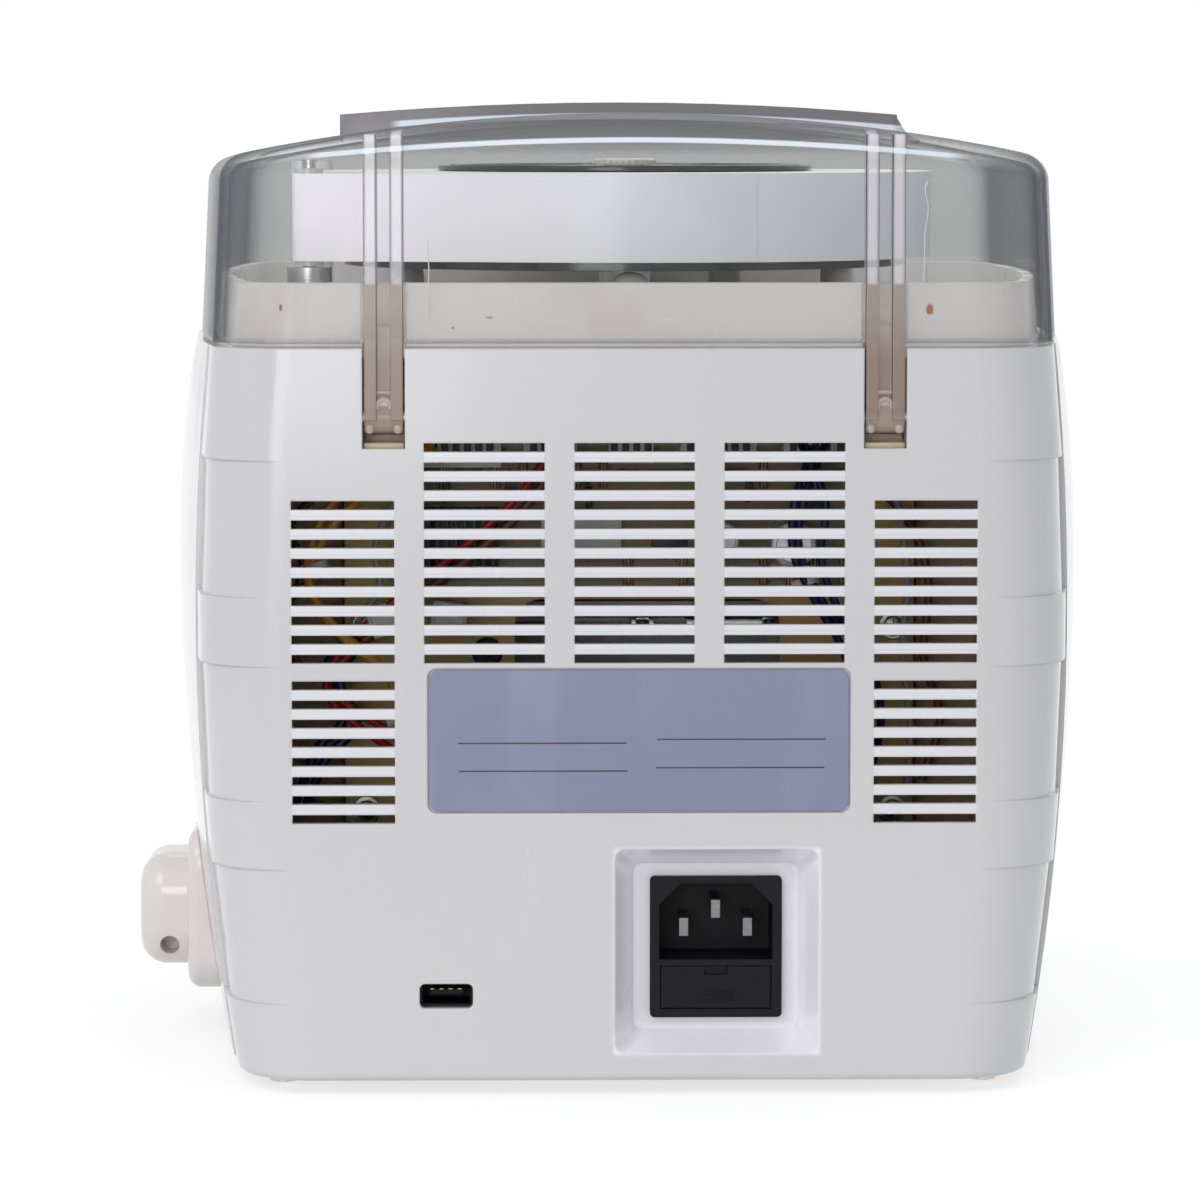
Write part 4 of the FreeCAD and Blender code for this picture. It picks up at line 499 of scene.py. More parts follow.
stack = start.other("GeometryNodeInstanceOnPoints", {}, {"Points": row, "Instance": start.other(
    "GeometryNodeSetShadeSmooth", {}, {0: wire})})
COIL = close_tree(start, start.other("GeometryNodeTransform", {}, {
    "Geometry": stack, "Rotation": (math.radians(90), 0, 0)}), paint)
for side, last in (("front", -1.4), ("back", 38.5)):
    turns = grow("coil_turns_" + side, COIL, bpy.data.meshes.new("none"), "machine", "core_steel", Count=9,
                 Wide=0.0347, Tall=0.0271, Pitch=0.0008, Radius=0.0004, Finish=copper)
    turns.data.transform(Matrix.Translation((-0.0232, last / 1000, 0.027)))
wrap = [slab((-40.5, y, 13.6), (-5.9, y + 2.2, 40.4), 0.0004) for y in (32.4, -4.6)]
fix("coil_tape", mesh_of("coil_tape", *wrap), amber, "machine")

# Small parts: chips, resistors, the ways of each plug, the heat sink and the tops of the cans.
chip_black = plain("chip_black", 0.001, (0.02, 0.02, 0.021), (0.05, 0.05, 0.05), 0.45)
tan, at = begin("resistor_tan")
rings = at.other("ShaderNodeTexWave", {"bands_direction": "X"}, {"Vector": at, "Scale": 420.0})
coat(tan, at, tint(step(rings, 0.6, 0.7), (0.62, 0.44, 0.24), (0.20, 0.06, 0.03)), 0.4)
chip = mesh_of("chip", slab((-4, -2.2, 0), (4, 2.2, 1.7), 0.0003),
               *[slab((x - 0.25, side * 2.9 - 0.35, 0), (x + 0.25, side * 2.9 + 0.35, 1.0), 0.00005)
                 for x in (-3, -1, 1, 3) for side in (-1, 1)])
CHIPS = [(-44, 127), (-30, 130), (-13, 117), (6, 128), (20, 131), (38, 130)]
BOARD_FACE = 81.6
copies("board_chips", chip, [(x, BOARD_FACE, z, -90, 0, (0, 90)[k % 2]) for k, (x, z) in enumerate(CHIPS)],
       chip_black, "machine", "dark_plastic")
bead = turned([(0.2, -3.2), (0.9, -3.0), (1.25, -2.4), (0.95, -1.6), (0.95, 1.6), (1.25, 2.4), (0.9, 3.0),
               (0.2, 3.2)], 12)
random.seed(7)
rows = [(x + random.uniform(-0.5, 0.5), 83, z, 0, random.choice((0, 90)), 0)
        for x in range(-52, 46, 6) for z in (111, 133) if random.random() < 0.75]
copies("board_resistors", mesh_of("bead", bead), rows, tan, "machine", "board")
# Each plug runs from one x to another and has its face at a y.
WAY_PITCH = 2.5
ways = []
for low, high, face in ((-50.2, -38.2, 88.62), (-32.2, -15.2, 88.62), (-9.2, 0.8, 90.62), (7.8, 19.8, 88.62),
                        (24.8, 44.8, 90.62)):
    count = int((high - low) / WAY_PITCH)
    first = (low + high - WAY_PITCH * (count - 1)) / 2
    ways += [(first + WAY_PITCH * k, face, 140) for k in range(count)]
way = mesh_of("way", slab((-0.8, -0.1, -1.9), (0.8, 0.05, 1.3), 0.00005))
copies("plug_ways", way, ways, recess, "machine", "dark_plastic")
anodised, at = begin("dark_anodised")
coat(anodised, at, tint(grain(at, 0.002, 2, (1, 0.1, 1)), (0.03, 0.03, 0.034), (0.06, 0.06, 0.065)), 0.4,
     edge=0.0002, Metallic=0.4)
fix("sink_back", mesh_of("sink_back", slab((25.4, 90.8, 111.6), (44.2, 92.4, 126.4), 0.0003)), anodised,
    "machine")
fin = mesh_of("fin", slab((-0.5, 0, 0), (0.5, 3.0, 14.4), 0.0002))
copies("sink_fins", fin, [(26.6 + 2.05 * k, 92.2, 111.8) for k in range(9)], anodised, "machine", "cast_alloy")
top = mesh_of("top", turned([(1.0, 0), (1.0, 0.15), (0.82, 0.2), (0.8, 0.05), (0.1, 0.05)], 24))
copies("can_tops", top, [(-40.2, 95.6, 118, -90, 0, 0)], milled, "machine", "cast_alloy", 4.8)
copies("can_tops_small", top, [(-24.2, 93.6, 119, -90, 0, 0)], milled, "machine", "cast_alloy", 3.8)

# ---- Leads ----------------------------------------------------------------------------------
# Stranded wires in plain PVC: orange-yellow, navy and red. They run from the plugs down behind
# the vents to the port, the inlet and the transformer. Nylon ties hold them to each other.

pvc = {name: plain(name + "_pvc", 0.004, shade, [0.8 * part for part in shade], 0.34) for name, shade in (
    ("yellow", (0.86, 0.38, 0.03)), ("blue", (0.012, 0.02, 0.10)), ("red", (0.58, 0.03, 0.02)),
    ("grey", (0.44, 0.44, 0.42)), ("brown", (0.20, 0.07, 0.03)), ("white", (0.80, 0.79, 0.75)))}
for name in ("yellow", "blue", "red"):
    wear(pvc[name], name + "_lead")
# Each is tied down at both ends, and lies beside its neighbour.
bars("yellow_lead_pair", [[(41, 89.6, 141), (41, 95.5, 140), (50, 98, 136), (63.4, 99.4, 126),
                           (67.6, 99.5, 110), (59, 99.4, 97), (48, 98.8, 88.5), (43.6, 99.2, 76),
                           (42.6, 99.6, 58), (39, 98.6, 42)]],
     0.0009, pvc["yellow"], "machine", "lead_yellow")
bars("red_lead_pair", [[(10.8, 88.6, 141), (10.8, 95, 140), (19, 96, 127), (31, 96, 116), (45, 93.5, 105),
                        (57, 92.6, 95), (63.5, 92.6, 86.5), (55, 91.8, 79.4), (41, 90, 70), (29, 86, 56),
                        (19, 82, 43), (16, 75.6, 34)]],
     0.0009, pvc["red"], "machine", "lead_red")
bars("lead_sleeve", [[(10.8, 95, 139.4), (19, 96, 127), (31, 96, 116), (45, 93.5, 105), (55.5, 92.7, 96.4)]],
     0.00125, pvc["brown"], "machine", "lead_red")
bars("blue_lead_pair", [[(-47, 88.6, 141), (-47, 94, 140), (-42.5, 98, 129), (-41.4, 97, 117), (-47, 96, 105),
                         (-54.4, 94, 94), (-56.4, 91, 80), (-52.4, 86, 65), (-43, 83, 53), (-33, 81, 43)],
                        [(-42, 88.6, 141), (-42, 96, 140), (-47, 101, 128), (-46, 100, 116), (-50, 99, 104),
                         (-57, 97, 93), (-60, 93, 78), (-56, 88, 62), (-47, 84, 49)]],
     0.0009, pvc["blue"], "machine", "lead_blue")
bars("harness_blue", [[(55, 88, 97), (61, 91, 88), (57, 92, 78), (64, 93, 70), (69, 92, 58)],
                      [(58, 86, 97), (64, 89, 90), (60, 90, 79), (66, 91, 72), (71, 90, 60)]],
     0.0011, pvc["blue"], "machine", "lead_blue")
bars("harness_grey", [[(-61, 84, 140), (-64, 88, 126), (-66, 90, 110), (-65, 90, 94), (-67, 88, 76),
                       (-66, 86, 60)],
                      [(49, 84, 127), (53, 87, 117), (52, 88, 108), (57, 88, 100), (60, 86, 90)]],
     0.0008, pvc["grey"], "machine", "connectors")
bars("harness_brown", [[(-62, 82, 128), (-68, 86, 120), (-71, 87, 108), (-70, 86, 92), (-74, 84, 78),
                        (-70, 83, 64)],
                       [(64, 82, 130), (72, 86, 122), (69, 88, 112), (74, 87, 100), (70, 85, 90)]],
     0.0010, pvc["brown"], "machine", "core_board")
tie = mesh_of("tie", turned([(2.3, -1.0), (2.5, -0.9), (2.5, 0.9), (2.3, 1.0)], 20),
              slab((1.9, -0.9, -1.3), (4.6, 0.9, 1.3)))
copies("lead_ties", tie, [(-43.8, 95.6, 110, 10, 18, 0), (-56, 91, 84, -20, 5, 0), (65.3, 99.2, 114, 0, 20, 0),
                          (46.2, 99, 80, 0, 12, 0)], pvc["white"], "machine", "connectors", 0.9)
joint = mesh_of("joint", slab((-4, -3, -3.4), (4, 3, 3.4), 0.0004),
                slab((-3.2, 2.6, -2.4), (3.2, 3.4, 2.4), 0.0002))
copies("lead_joints", joint, [(50.4, 92, 101.5, 0, 20, 0), (36.4, 88, 101.5, 0, -8, 0)], ivory, "machine",
       "connectors")

# ---- Throat: table, lining, tape arch and side guide ----------------------------------------
# Brushed stainless sheet makes the table and the arch that carries the tape round the bundle.
# Dark mouldings line the throat. The guide slides in a slot and is held by a thumb screw.

stainless, at = begin("brushed_stainless")
brush = grain(at, 0.0006, 2, (0.02, 1, 1))
coat(stainless, at, tint(brush, (0.54, 0.54, 0.55), (0.68, 0.68, 0.68)), 0.24 + 0.16 * brush, brush,
     0.000006, 0.0003, Metallic=1.0)
charcoal, at = begin("charcoal_moulding")
spark = grain(at, 0.0005, 2)
coat(charcoal, at, tint(grain(at, 0.02), (0.055, 0.056, 0.06), (0.075, 0.076, 0.08)), 0.46, spark,
     0.00004, 0.0006)
wear(stainless, "worktable", "tape_arch", "side_guide")
wear(charcoal, "throat_frame", "throat_liner", "control_panel")

# Countersunk screws hold the table. Etched ticks, every 2 mm, help to square the bundle.
TABLE_TOP = 93.5
sunk = mesh_of("sunk", turned([(2.6, -0.05), (2.6, 0.04), (2.4, 0.1), (1.0, 0.1), (0.9, 0.02), (0.2, 0.02)],
                              24))
SUNK = [(x, y) for x in (-51, 42.5) for y in (-118, -76)]
copies("table_screws", sunk, [(x, y, TABLE_TOP) for x, y in SUNK], plated, "machine", "plated")
copies("table_screw_drives", cross, [(x, y, TABLE_TOP + 0.06, 0, 0, 30) for x, y in SUNK], recess, "machine",
       "dark_plastic", 0.6)
tick = mesh_of("tick", slab((-0.12, -1.2, -0.04), (0.12, 1.2, 0.02), 0.00001))
copies("table_ticks", tick, [(x, -120.5, TABLE_TOP) for x in range(-46, 25, 2)], recess, "machine",
       "dark_plastic")
copies("table_long_ticks", tick, [(x, -119.9, TABLE_TOP) for x in range(-46, 25, 10)], recess, "machine",
       "dark_plastic", 1.7)


def around(x, y, z, radius, count):
    """Places evenly round a point, each turned to face away from it."""
    turns = [k * 360 / count for k in range(count)]
    return [(x + radius * math.cos(math.radians(turn)), y + radius * math.sin(math.radians(turn)), z,
             0, 0, turn) for turn in turns]


rib = mesh_of("rib", slab((-0.35, -0.4, -1.0), (0.35, 0.3, 4.6), 0.0002))
copies("thumb_knurls", rib, around(34.8, -90, 95, 4.15, 22), charcoal, "side_guide", "black_plastic", 0.9)

# ---- Front and rear shells ------------------------------------------------------------------
# Two glossy injection-moulded halves in a cool off-white. The rear one has raised bands, five
# columns of vents and a pocket for the inlet. Both are a little scuffed. Their colour holds painted
# light: paler low down, darker at the far right of the back, with paler slats and a paler pocket.

white, at = begin("shell_white")
across, along, tall = (part_of(at, k) for k in range(3))
patches = grain(at, 0.09, 3)
fine = grain(at, 0.0025, 3)
scuffs = step(grain(at, 0.012, 8, (1, 1, 0.3)), 0.63, 0.72)
# Painted light: the shells are painted paler towards the bottom and darker towards the top.
low = step(tall, 0.1, 0.0)
# The vents: columns by their middles and half widths, and slats at an even pitch from a foot.
MIDDLES, INNER_HALF, OUTER_HALF = (0.0325, 0.0632), 0.013, 0.0112
VENT_FOOT, VENTS_PER_METRE, SOFT = 0.0599, 239.8, 0.0001
aside = abs(across - MACHINE_X)
inner = step(aside, INNER_HALF + SOFT, INNER_HALF - SOFT) + step(
    abs(aside - MIDDLES[0]), INNER_HALF + SOFT, INNER_HALF - SOFT)
outer = step(abs(aside - MIDDLES[1]), OUTER_HALF + SOFT, OUTER_HALF - SOFT)
upper = step(tall, 0.0957, 0.0959)
# Painted highlight: the slats between the vents are painted paler, with painted shade along the lower edge of
# each slat.
painted_slat_highlight = (inner * upper * step(tall, 0.1426, 0.1424)
         + outer * (step(tall, 0.0606, 0.0608) * step(tall, 0.0909, 0.0907)
                    + upper * step(tall, 0.1301, 0.1299))) * step(along, 0.1205, 0.122)
pitch = at.sum("FRACT", VENTS_PER_METRE * (tall - VENT_FOOT))
slat_highlight_and_shade = tint(0.5 * step(pitch, 0.14, 0.0), (0.755, 0.75, 0.785), (0.56, 0.55, 0.58))
# Painted light: the inlet's pocket is painted paler, and its bottom wall and its wall towards -x palest, as
# painted highlight.
pocket = (step(abs(across + 0.0222), 0.0232, 0.0222) * step(tall, 0.0550, 0.0540) * step(tall, 0.0082, 0.0092)
          * step(along, 0.1, 0.11))
lit_pocket_walls = pocket * at.sum("MAXIMUM", step(across, -0.0390, -0.0405), step(tall, 0.0150, 0.0130))
shell_tone_and_painted_light = tint(0.25 * patches, tint(low, (0.61, 0.60, 0.62), (0.71, 0.70, 0.70)), (0.66, 0.63, 0.61))
# Painted shade: the far right of the back, towards -x, is painted darker.
shell_tone_and_painted_light = tint(0.4 * step(across, -0.07, -0.1) * step(along, 0.08, 0.11), shell_tone_and_painted_light, (0.54, 0.55, 0.54))
shell_tone_and_painted_light = tint(pocket, shell_tone_and_painted_light, tint(lit_pocket_walls, (0.80, 0.785, 0.82), (0.92, 0.91, 0.94)))
coat(white, at, tint(painted_slat_highlight, shell_tone_and_painted_light, slat_highlight_and_shade),
     0.17 + 0.1 * scuffs + 0.05 * patches, grain(at, 0.03, 1) + 0.06 * fine, 0.00012, 0.0007, Coat_Weight=0.35,
     Coat_Roughness=0.08)
wear(white, "rear_cover", "front_cover")
wear(plain("housing_white", 0.015, (0.80, 0.74, 0.73), (0.73, 0.67, 0.66), 0.22, 0.0006, 3, (0.006, 0.00004),
           Coat_Weight=0.3), "side_housing")

# ---- Deck tray ------------------------------------------------------------------------------
# The white tray under the reel is an older, creamier moulding, whose inside towards both sides is
# painted paler as painted light. It has rust-brown specks and dark hairline scratches where reels
# were dropped in.

cream, at = begin("deck_cream")
spots = []
for x, z, wide, tall in ((-68.3, 171.2, 0.9, 1.25), (72.3, 171.6, 0.45, 0.8), (27.1, 169.5, 1.0, 0.35),
                         (35.1, 167.3, 0.4, 0.4), (-60.6, 170.2, 0.35, 0.4)):
    off = at.vector("SUBTRACT", (x / 1000, 0.119, z / 1000)).vector("MULTIPLY", (1000 / wide, 100, 1000 / tall))
    spots.append(step(off.vector("LENGTH", out="Value") + 0.9 * grain(at, 0.0008, 2), 1.55, 1.1))
rust = at.sum("MAXIMUM", spots[0], spots[1])
soot = 0.7 * at.sum("MAXIMUM", spots[2], at.sum("MAXIMUM", spots[3], spots[4]))
hairs = step(grain(at, 0.0012, 1, (1, 1, 0.03)), 0.74, 0.78)
dirt = step(grain(at, 0.03, 5), 0.5, 0.75)
dirt_and_painted_light = tint(dirt, (0.62, 0.58, 0.57), (0.55, 0.49, 0.48))
# Painted light: the inside of the tray towards both sides is painted paler.
beside = step(part_of(at, 1), 0.112, 0.104) * step(abs(part_of(at, 0) - MACHINE_X), 0.05, 0.062)
dirt_and_painted_light = tint(beside, dirt_and_painted_light, (0.88, 0.86, 0.84))
dirt_and_painted_light = tint(at.sum("MAXIMUM", soot, 0.35 * hairs), dirt_and_painted_light, (0.20, 0.15, 0.13))
coat(cream, at, tint(rust, dirt_and_painted_light, (0.36, 0.11, 0.04)),
     0.26 + 0.2 * dirt, grain(at, 0.004, 3), 0.00004, 0.0006)
wear(cream, "top_deck")

# ---- Rating plate ---------------------------------------------------------------------------
# A pale lavender-blue foil plate with round corners, pressed into a shallow recess. It is blank,
# but for the fine rule lines that such plates have.

foil, at = begin("lavender_foil")
gloss = step(grain(at, 0.02, 2, (1, 1, 0.5)), 0.5, 0.75)
coat(foil, at, tint(gloss, (0.205, 0.225, 0.355), (0.255, 0.285, 0.40)), 0.24, grain(at, 0.02),
     0.00005, 0.0003, Coat_Weight=0.5)
wear(foil, "rating_plate")
line_black = plain("rule_black", 0.0004, (0.02, 0.02, 0.025), (0.05, 0.05, 0.06), 0.4)
PLATE_FACE = 125.1
line = mesh_of("line", slab((-18.3, -0.3, -0.16), (18.3, 0.02, 0.16), 0.00002))
RULES = ((15.8, 77.4), (-27.4, 78.2), (15.6, 71.3), (-27.2, 72.0))
copies("plate_rules", line, [(x, PLATE_FACE, z) for x, z in RULES], line_black, "machine", "dark_plastic")

# ---- Power inlet, fuse drawer, port and rocker ----------------------------------------------
# Black glass-filled mouldings with nickel pins. The drawer below the socket pulls out by its
# notch. The rocker tips in its own frame in the front wall.

black = plain("black_moulding", 0.008, (0.004, 0.004, 0.006), (0.008, 0.008, 0.010), 0.45, 0.0004, 3,
              (0.0006, 0.00003), Specular_IOR_Level=0.16)
nickel = plain("dull_nickel", 0.0012, (0.12, 0.12, 0.125), (0.24, 0.24, 0.25), 0.4, 0.0002, Metallic=1.0)
wear(nickel, "inlet_pins")
wear(black, "power_inlet", "fuse_drawer", "service_port", "switch_frame", "power_rocker", "guide_screw")
brass = plain("gilt_contact", 0.001, (0.62, 0.42, 0.14), (0.72, 0.52, 0.2), 0.3, Metallic=1.0)
grip = mesh_of("grip", slab((-4.2, -0.3, -0.22), (4.2, 0.22, 0.22), 0.0001))
copies("drawer_grips", grip, [(-22.2, 118.4, z) for z in (19.6, 20.5, 21.4)], black, "fuse_drawer",
       "black_plastic")
leaf = mesh_of("leaf", slab((-0.45, -3.2, -0.08), (0.45, 3.2, 0.08), 0.00005))
copies("port_leaves", leaf, [(x, 118.4, 22.95) for x in (33.9, 35.9, 37.9, 39.9)], brass, "machine", "plated")
white_print = plain("white_print", 0.0005, (0.66, 0.66, 0.65), (0.76, 0.76, 0.75), 0.5)


def onto(name, place, way):
    """The point of a CAD node's surface that a ray meets, in millimetres."""
    hit, spot, _, _ = nodes[name].ray_cast(Vector(place) / 1000, Vector(way))
    return spot * 1000


# The rocker's round mark and its bar show which half is off and on.
ROCKER_X = -62.2
up = onto("power_rocker", (ROCKER_X, -140, 58.6), (0, 1, 0))
bars("rocker_round_mark", [[(x, onto("power_rocker", (x, -140, z), (0, 1, 0)).y, z)
                            for x, _, z in ring(ROCKER_X, 0, 49.2, 1.5, "y")]], 0.00016, white_print,
     "power_rocker", "key_grey", 6, 0.0004, True)
dash = mesh_of("dash", slab((-0.2, -0.1, -1.7), (0.2, 0.12, 1.7), 0.00005))
copies("rocker_bar_mark", dash, [(up.x, up.y, up.z, 8, 0, 0)], white_print, "power_rocker", "key_grey")

# ---- Control panel: display and buttons -----------------------------------------------------
# A tinted window and four square caps stand in a charcoal facia on the sloping front. Unlit
# segments show behind the window, and each cap has a plain sign.

wear(plain("tinted_window", 0.02, (0.012, 0.03, 0.025), (0.02, 0.045, 0.035), 0.08, 0.0004, Coat_Weight=1.0),
     "display_window")
SLOPE = math.radians(31)
OUT = Vector((0, -math.sin(SLOPE), math.cos(SLOPE)))
UP = Vector((0, math.cos(SLOPE), math.sin(SLOPE)))


def over(name):
    """The middle of a CAD node's outer face on the sloping panel, in millimetres."""
    low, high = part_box(name)
    middle = (Vector(low) + Vector(high)) / 2
    top = max(spot.co.dot(OUT) for spot in nodes[name].data.vertices)
    return (middle + (top - middle.dot(OUT)) * OUT) * 1000


unlit = plain("unlit_segment", 0.002, (0.05, 0.10, 0.08), (0.07, 0.13, 0.10), 0.3)
LEAN, DIGIT_PITCH = math.degrees(SLOPE), 7.6
pane = over("display_window")
level, upright = [], []
for digit in range(4):
    for x, y, strokes in ((0, 4, level), (0, 0, level), (0, -4, level), (-2.1, 2, upright), (2.1, 2, upright),
                          (-2.1, -2, upright), (2.1, -2, upright)):
        spot = pane + UP * y + Vector((x + DIGIT_PITCH * (digit - 1.5), 0, 0))
        strokes.append((*spot, LEAN, 0, 0))
copies("display_flat_strokes", mesh_of("stroke", slab((-1.7, -0.35, -0.05), (1.7, 0.35, 0.03), 0.0001)), level,
       unlit, "machine", "display_lens")
copies("display_upright_strokes", mesh_of("upright", slab((-0.35, -1.7, -0.05), (0.35, 1.7, 0.03), 0.0001)),
       upright, unlit, "machine", "display_lens")


def sign_bar(left, low, right, high, top=0.04, soft=0.0001):
    """One raised bar of a cap's sign."""
    return slab((left, low, -0.05), (right, high, top), soft)


SIGNS = {"feed": [(-2.4, -0.35, 1.2, 0.35), (0.6, -1.5, 1.3, 1.5), (1.6, -0.9, 2.2, 0.9)],
         "band": [(-2.4, 0.8, 2.4, 1.5), (-2.4, -1.5, 2.4, -0.8), (-0.5, -2.2, 0.5, 2.2, 0.05)],
         "mode": [(-2.2, -0.35, 2.2, 0.35), (-2.2, 1.2, 0.6, 1.9), (-2.2, -1.9, 1.4, -1.2)],
         "stop": [(-1.7, -1.7, 1.7, 1.7, 0.04, 0.0002)]}
for name, shade in (("feed", (0.04, 0.30, 0.10)), ("band", (0.40, 0.42, 0.45)),
                    ("mode", (0.40, 0.42, 0.45)), ("stop", (0.52, 0.03, 0.02))):
    wear(plain("cap_" + name, 0.004, shade, [0.85 * part for part in shade], 0.35, 0.0006, 3,
               (0.0006, 0.00003)), "button_" + name)
    sign = mesh_of("sign", *[sign_bar(*bar) for bar in SIGNS[name]])
    copies("sign_" + name, sign, [(*over("button_" + name), LEAN, 0, 0)], white_print, "button_" + name,
           "key_grey")

# ---- Reel: paper tape on its core, reel plate, cap, knob and guides -------------------------
# White paper tape is wound on a board core between a smoke-dark plate and cap. Three round studs
# of the deck carry the plate. The free end goes round a clear roller to a slotted chute.

REEL = (MACHINE_X, 0.0195, 0.0)
REEL_X, REEL_Y = -4.2, 19.5
paper, at = begin("paper_tape")
radius = at.vector("SUBTRACT", REEL).vector("MULTIPLY", (1, 1, 0)).vector("LENGTH", out="Value")
turns = radius.other("ShaderNodeTexNoise", {"noise_dimensions": "1D"}, {"W": radius, "Scale": 2600.0}, 0)
side = step(radius, 0.0712, 0.0716)
# Painted light: the side of the roll is painted paler towards +x and darker towards -x, with soft grey blots of
# painted shade.
shade_blots = step(grain(at, 0.035, 2), 0.45, 0.7)
ends = tint(step(turns, 0.35, 0.7), (0.60, 0.59, 0.58), (0.76, 0.75, 0.75))
lit_side = step(part_of(at, 0), -0.055, 0.085)
faces = tint(lit_side, (0.67, 0.69, 0.72), (0.97, 0.94, 0.98))
coat(paper, at, tint(side, ends, tint(0.35 * shade_blots, faces, (0.56, 0.58, 0.62))),
     0.42 - 0.12 * side, (1 - side) * turns, 0.0001, 0.0, Sheen_Weight=0.1)
board = plain("core_board", 0.002, (0.30, 0.20, 0.12), (0.42, 0.30, 0.19), 0.75, 0.0, 4, (0.001, 0.0001))
smoke = plain("smoke_plastic", 0.02, (0.022, 0.022, 0.028), (0.035, 0.035, 0.042), 0.14, 0.0003)
pale = plain("pale_knob", 0.003, (0.62, 0.59, 0.50), (0.70, 0.68, 0.60), 0.4, 0.0004)
acetal = plain("clear_acetal", 0.004, (0.66, 0.68, 0.68), (0.74, 0.75, 0.74), 0.15, 0.0003, Alpha=0.75)
wear(paper, "tape_roll", "tape_lead")
wear(board, "tape_core")
wear(smoke, "reel_disc", "reel_cap")
wear(pale, "reel_knob")
wear(acetal, "guide_roller", "tape_chute")

# Fine ribs round the knob give grip. Spokes and two rims stiffen the cap.
notch = mesh_of("notch", slab((-0.3, -0.25, -0.6), (0.3, 0.25, 0.6), 0.00012))
copies("knob_ribs", notch, around(REEL_X, REEL_Y, 202.3, 7.1, 30), pale, "reel", "knob_plastic")
spoke = mesh_of("spoke", slab((-14, -0.7, -0.3), (14, 0.7, 0.25), 0.0002))
copies("cap_spokes", spoke, around(REEL_X, REEL_Y, 201.5, 26, 6), smoke, "reel", "reel_plastic")
bars("cap_rims", [ring(REEL_X, REEL_Y, 201.55, radius, "z", 60) for radius in (11.5, 41.0)], 0.0003, smoke,
     "reel", "reel_plastic", 8, 0.003, True)

# The two edges of the tape on the roll, in metres.
LOW_EDGE, HIGH_EDGE = 0.1806, 0.2002


def strip(name, near, turns, lifts, body):
    """Tape round the roll: its inner radius, its turns in degrees and its thickness at each."""
    form, loops = bmesh.new(), []
    for turn, lift in zip(turns, lifts):
        way = Vector((math.cos(math.radians(turn)), math.sin(math.radians(turn)), 0))
        loops.append([form.verts.new(Vector(REEL) + Vector((0, 0, z)) + way * r) for r, z in (
            (near, LOW_EDGE), (near, HIGH_EDGE), (near + lift, HIGH_EDGE), (near + lift, LOW_EDGE))])
    skinned(form, loops)
    bmesh.ops.recalc_face_normals(form, faces=form.faces[:])
    fix(name, mesh_of(name, form), paper, body)


# The seam of the last turn, and the lap where the free end leaves the roll.
strip("roll_seam", 0.07203, [262 + 1.6 * k for k in range(10)], [0.00007] * 10, "reel")
strip("tape_lap", 0.07214, [78.4 + 1.5 * k for k in range(24)],
      [0.00002 + 0.00043 * (1 - k / 24) for k in range(24)], "machine")

# ---- Clear cover ----------------------------------------------------------------------------
# One deep moulding in clear plastic, faintly grey. Its top is crowned, its corners are round, and
# two pairs of ribs run down its back into the knuckles of the hinge.

HINGES = (50.0, -58.4)
HINGE_ASIDE = 0.0542


def band(value, middle, half):
    """1 within half of a middle, with soft sides."""
    return step(abs(value - middle), half, 0.6 * half)


clear, at = begin("clear_hood")
across, along, height = (part_of(at, k) for k in range(3))
facing = at.other("ShaderNodeLayerWeight", {}, {"Blend": 0.35}, 1)
haze = grain(at, 0.05, 3)
sideways = abs(across - MACHINE_X)
bow = sideways * sideways
ribs = abs(abs(sideways - HINGE_ASIDE) - 0.00285)
back = step(along, 0.1165, 0.118) * step(height, 0.150, 0.152)
# Painted highlight: the ribs down the back are painted pale, with painted shade in dark lines along their
# edges.
ribbed = step(ribs, 0.0016, 0.0013) * back
lines = band(ribs, 0.0013, 0.00035) * back
ends = step(abs(along - 0.0277), 0.078, 0.084)
# Painted shade: the crown and the lip are painted dark, and they and the walls below the crown are made more
# opaque.
crown = step(height, 0.2035, 0.2125) * ends
walls = step(along, 0.105, 0.085) * step(height + 1.176 * bow, 0.2114, 0.2098)
rim = step(height, 0.1652, 0.1642)
web = step(abs(sideways - HINGE_ASIDE), 0.0052, 0.0048) * step(along, 0.112, 0.116)
lip = step(along, -0.0525, -0.0535) * step(height, 0.2072, 0.2079)
# Painted highlights: pale bands along the back edge of the crown and across the lip.
glint = step(sideways, 0.074, 0.068) * at.sum(
    "MAXIMUM", band(height + 0.714 * bow, 0.2078, 0.0007) * step(along, 0.108, 0.113),
    step(across, 0.053, 0.050) * band(height + 0.625 * bow, 0.2132, 0.0009) * lip)
lit = 1 - 0.85 * rays(at, "Is Shadow Ray", "Is Diffuse Ray")
smoky = tint(facing, (0.30, 0.31, 0.30), (0.20, 0.19, 0.22))
arm = step(height, 0.1775, 0.1765) * web
body = tint(ribbed, tint(crown, smoky, (0.17, 0.175, 0.185)), (0.80, 0.75, 0.78))
body = tint(glint, tint(lip, tint(0.8 * lines, body, (0.22, 0.20, 0.26)), (0.23, 0.22, 0.24)),
            (0.80, 0.87, 0.95))
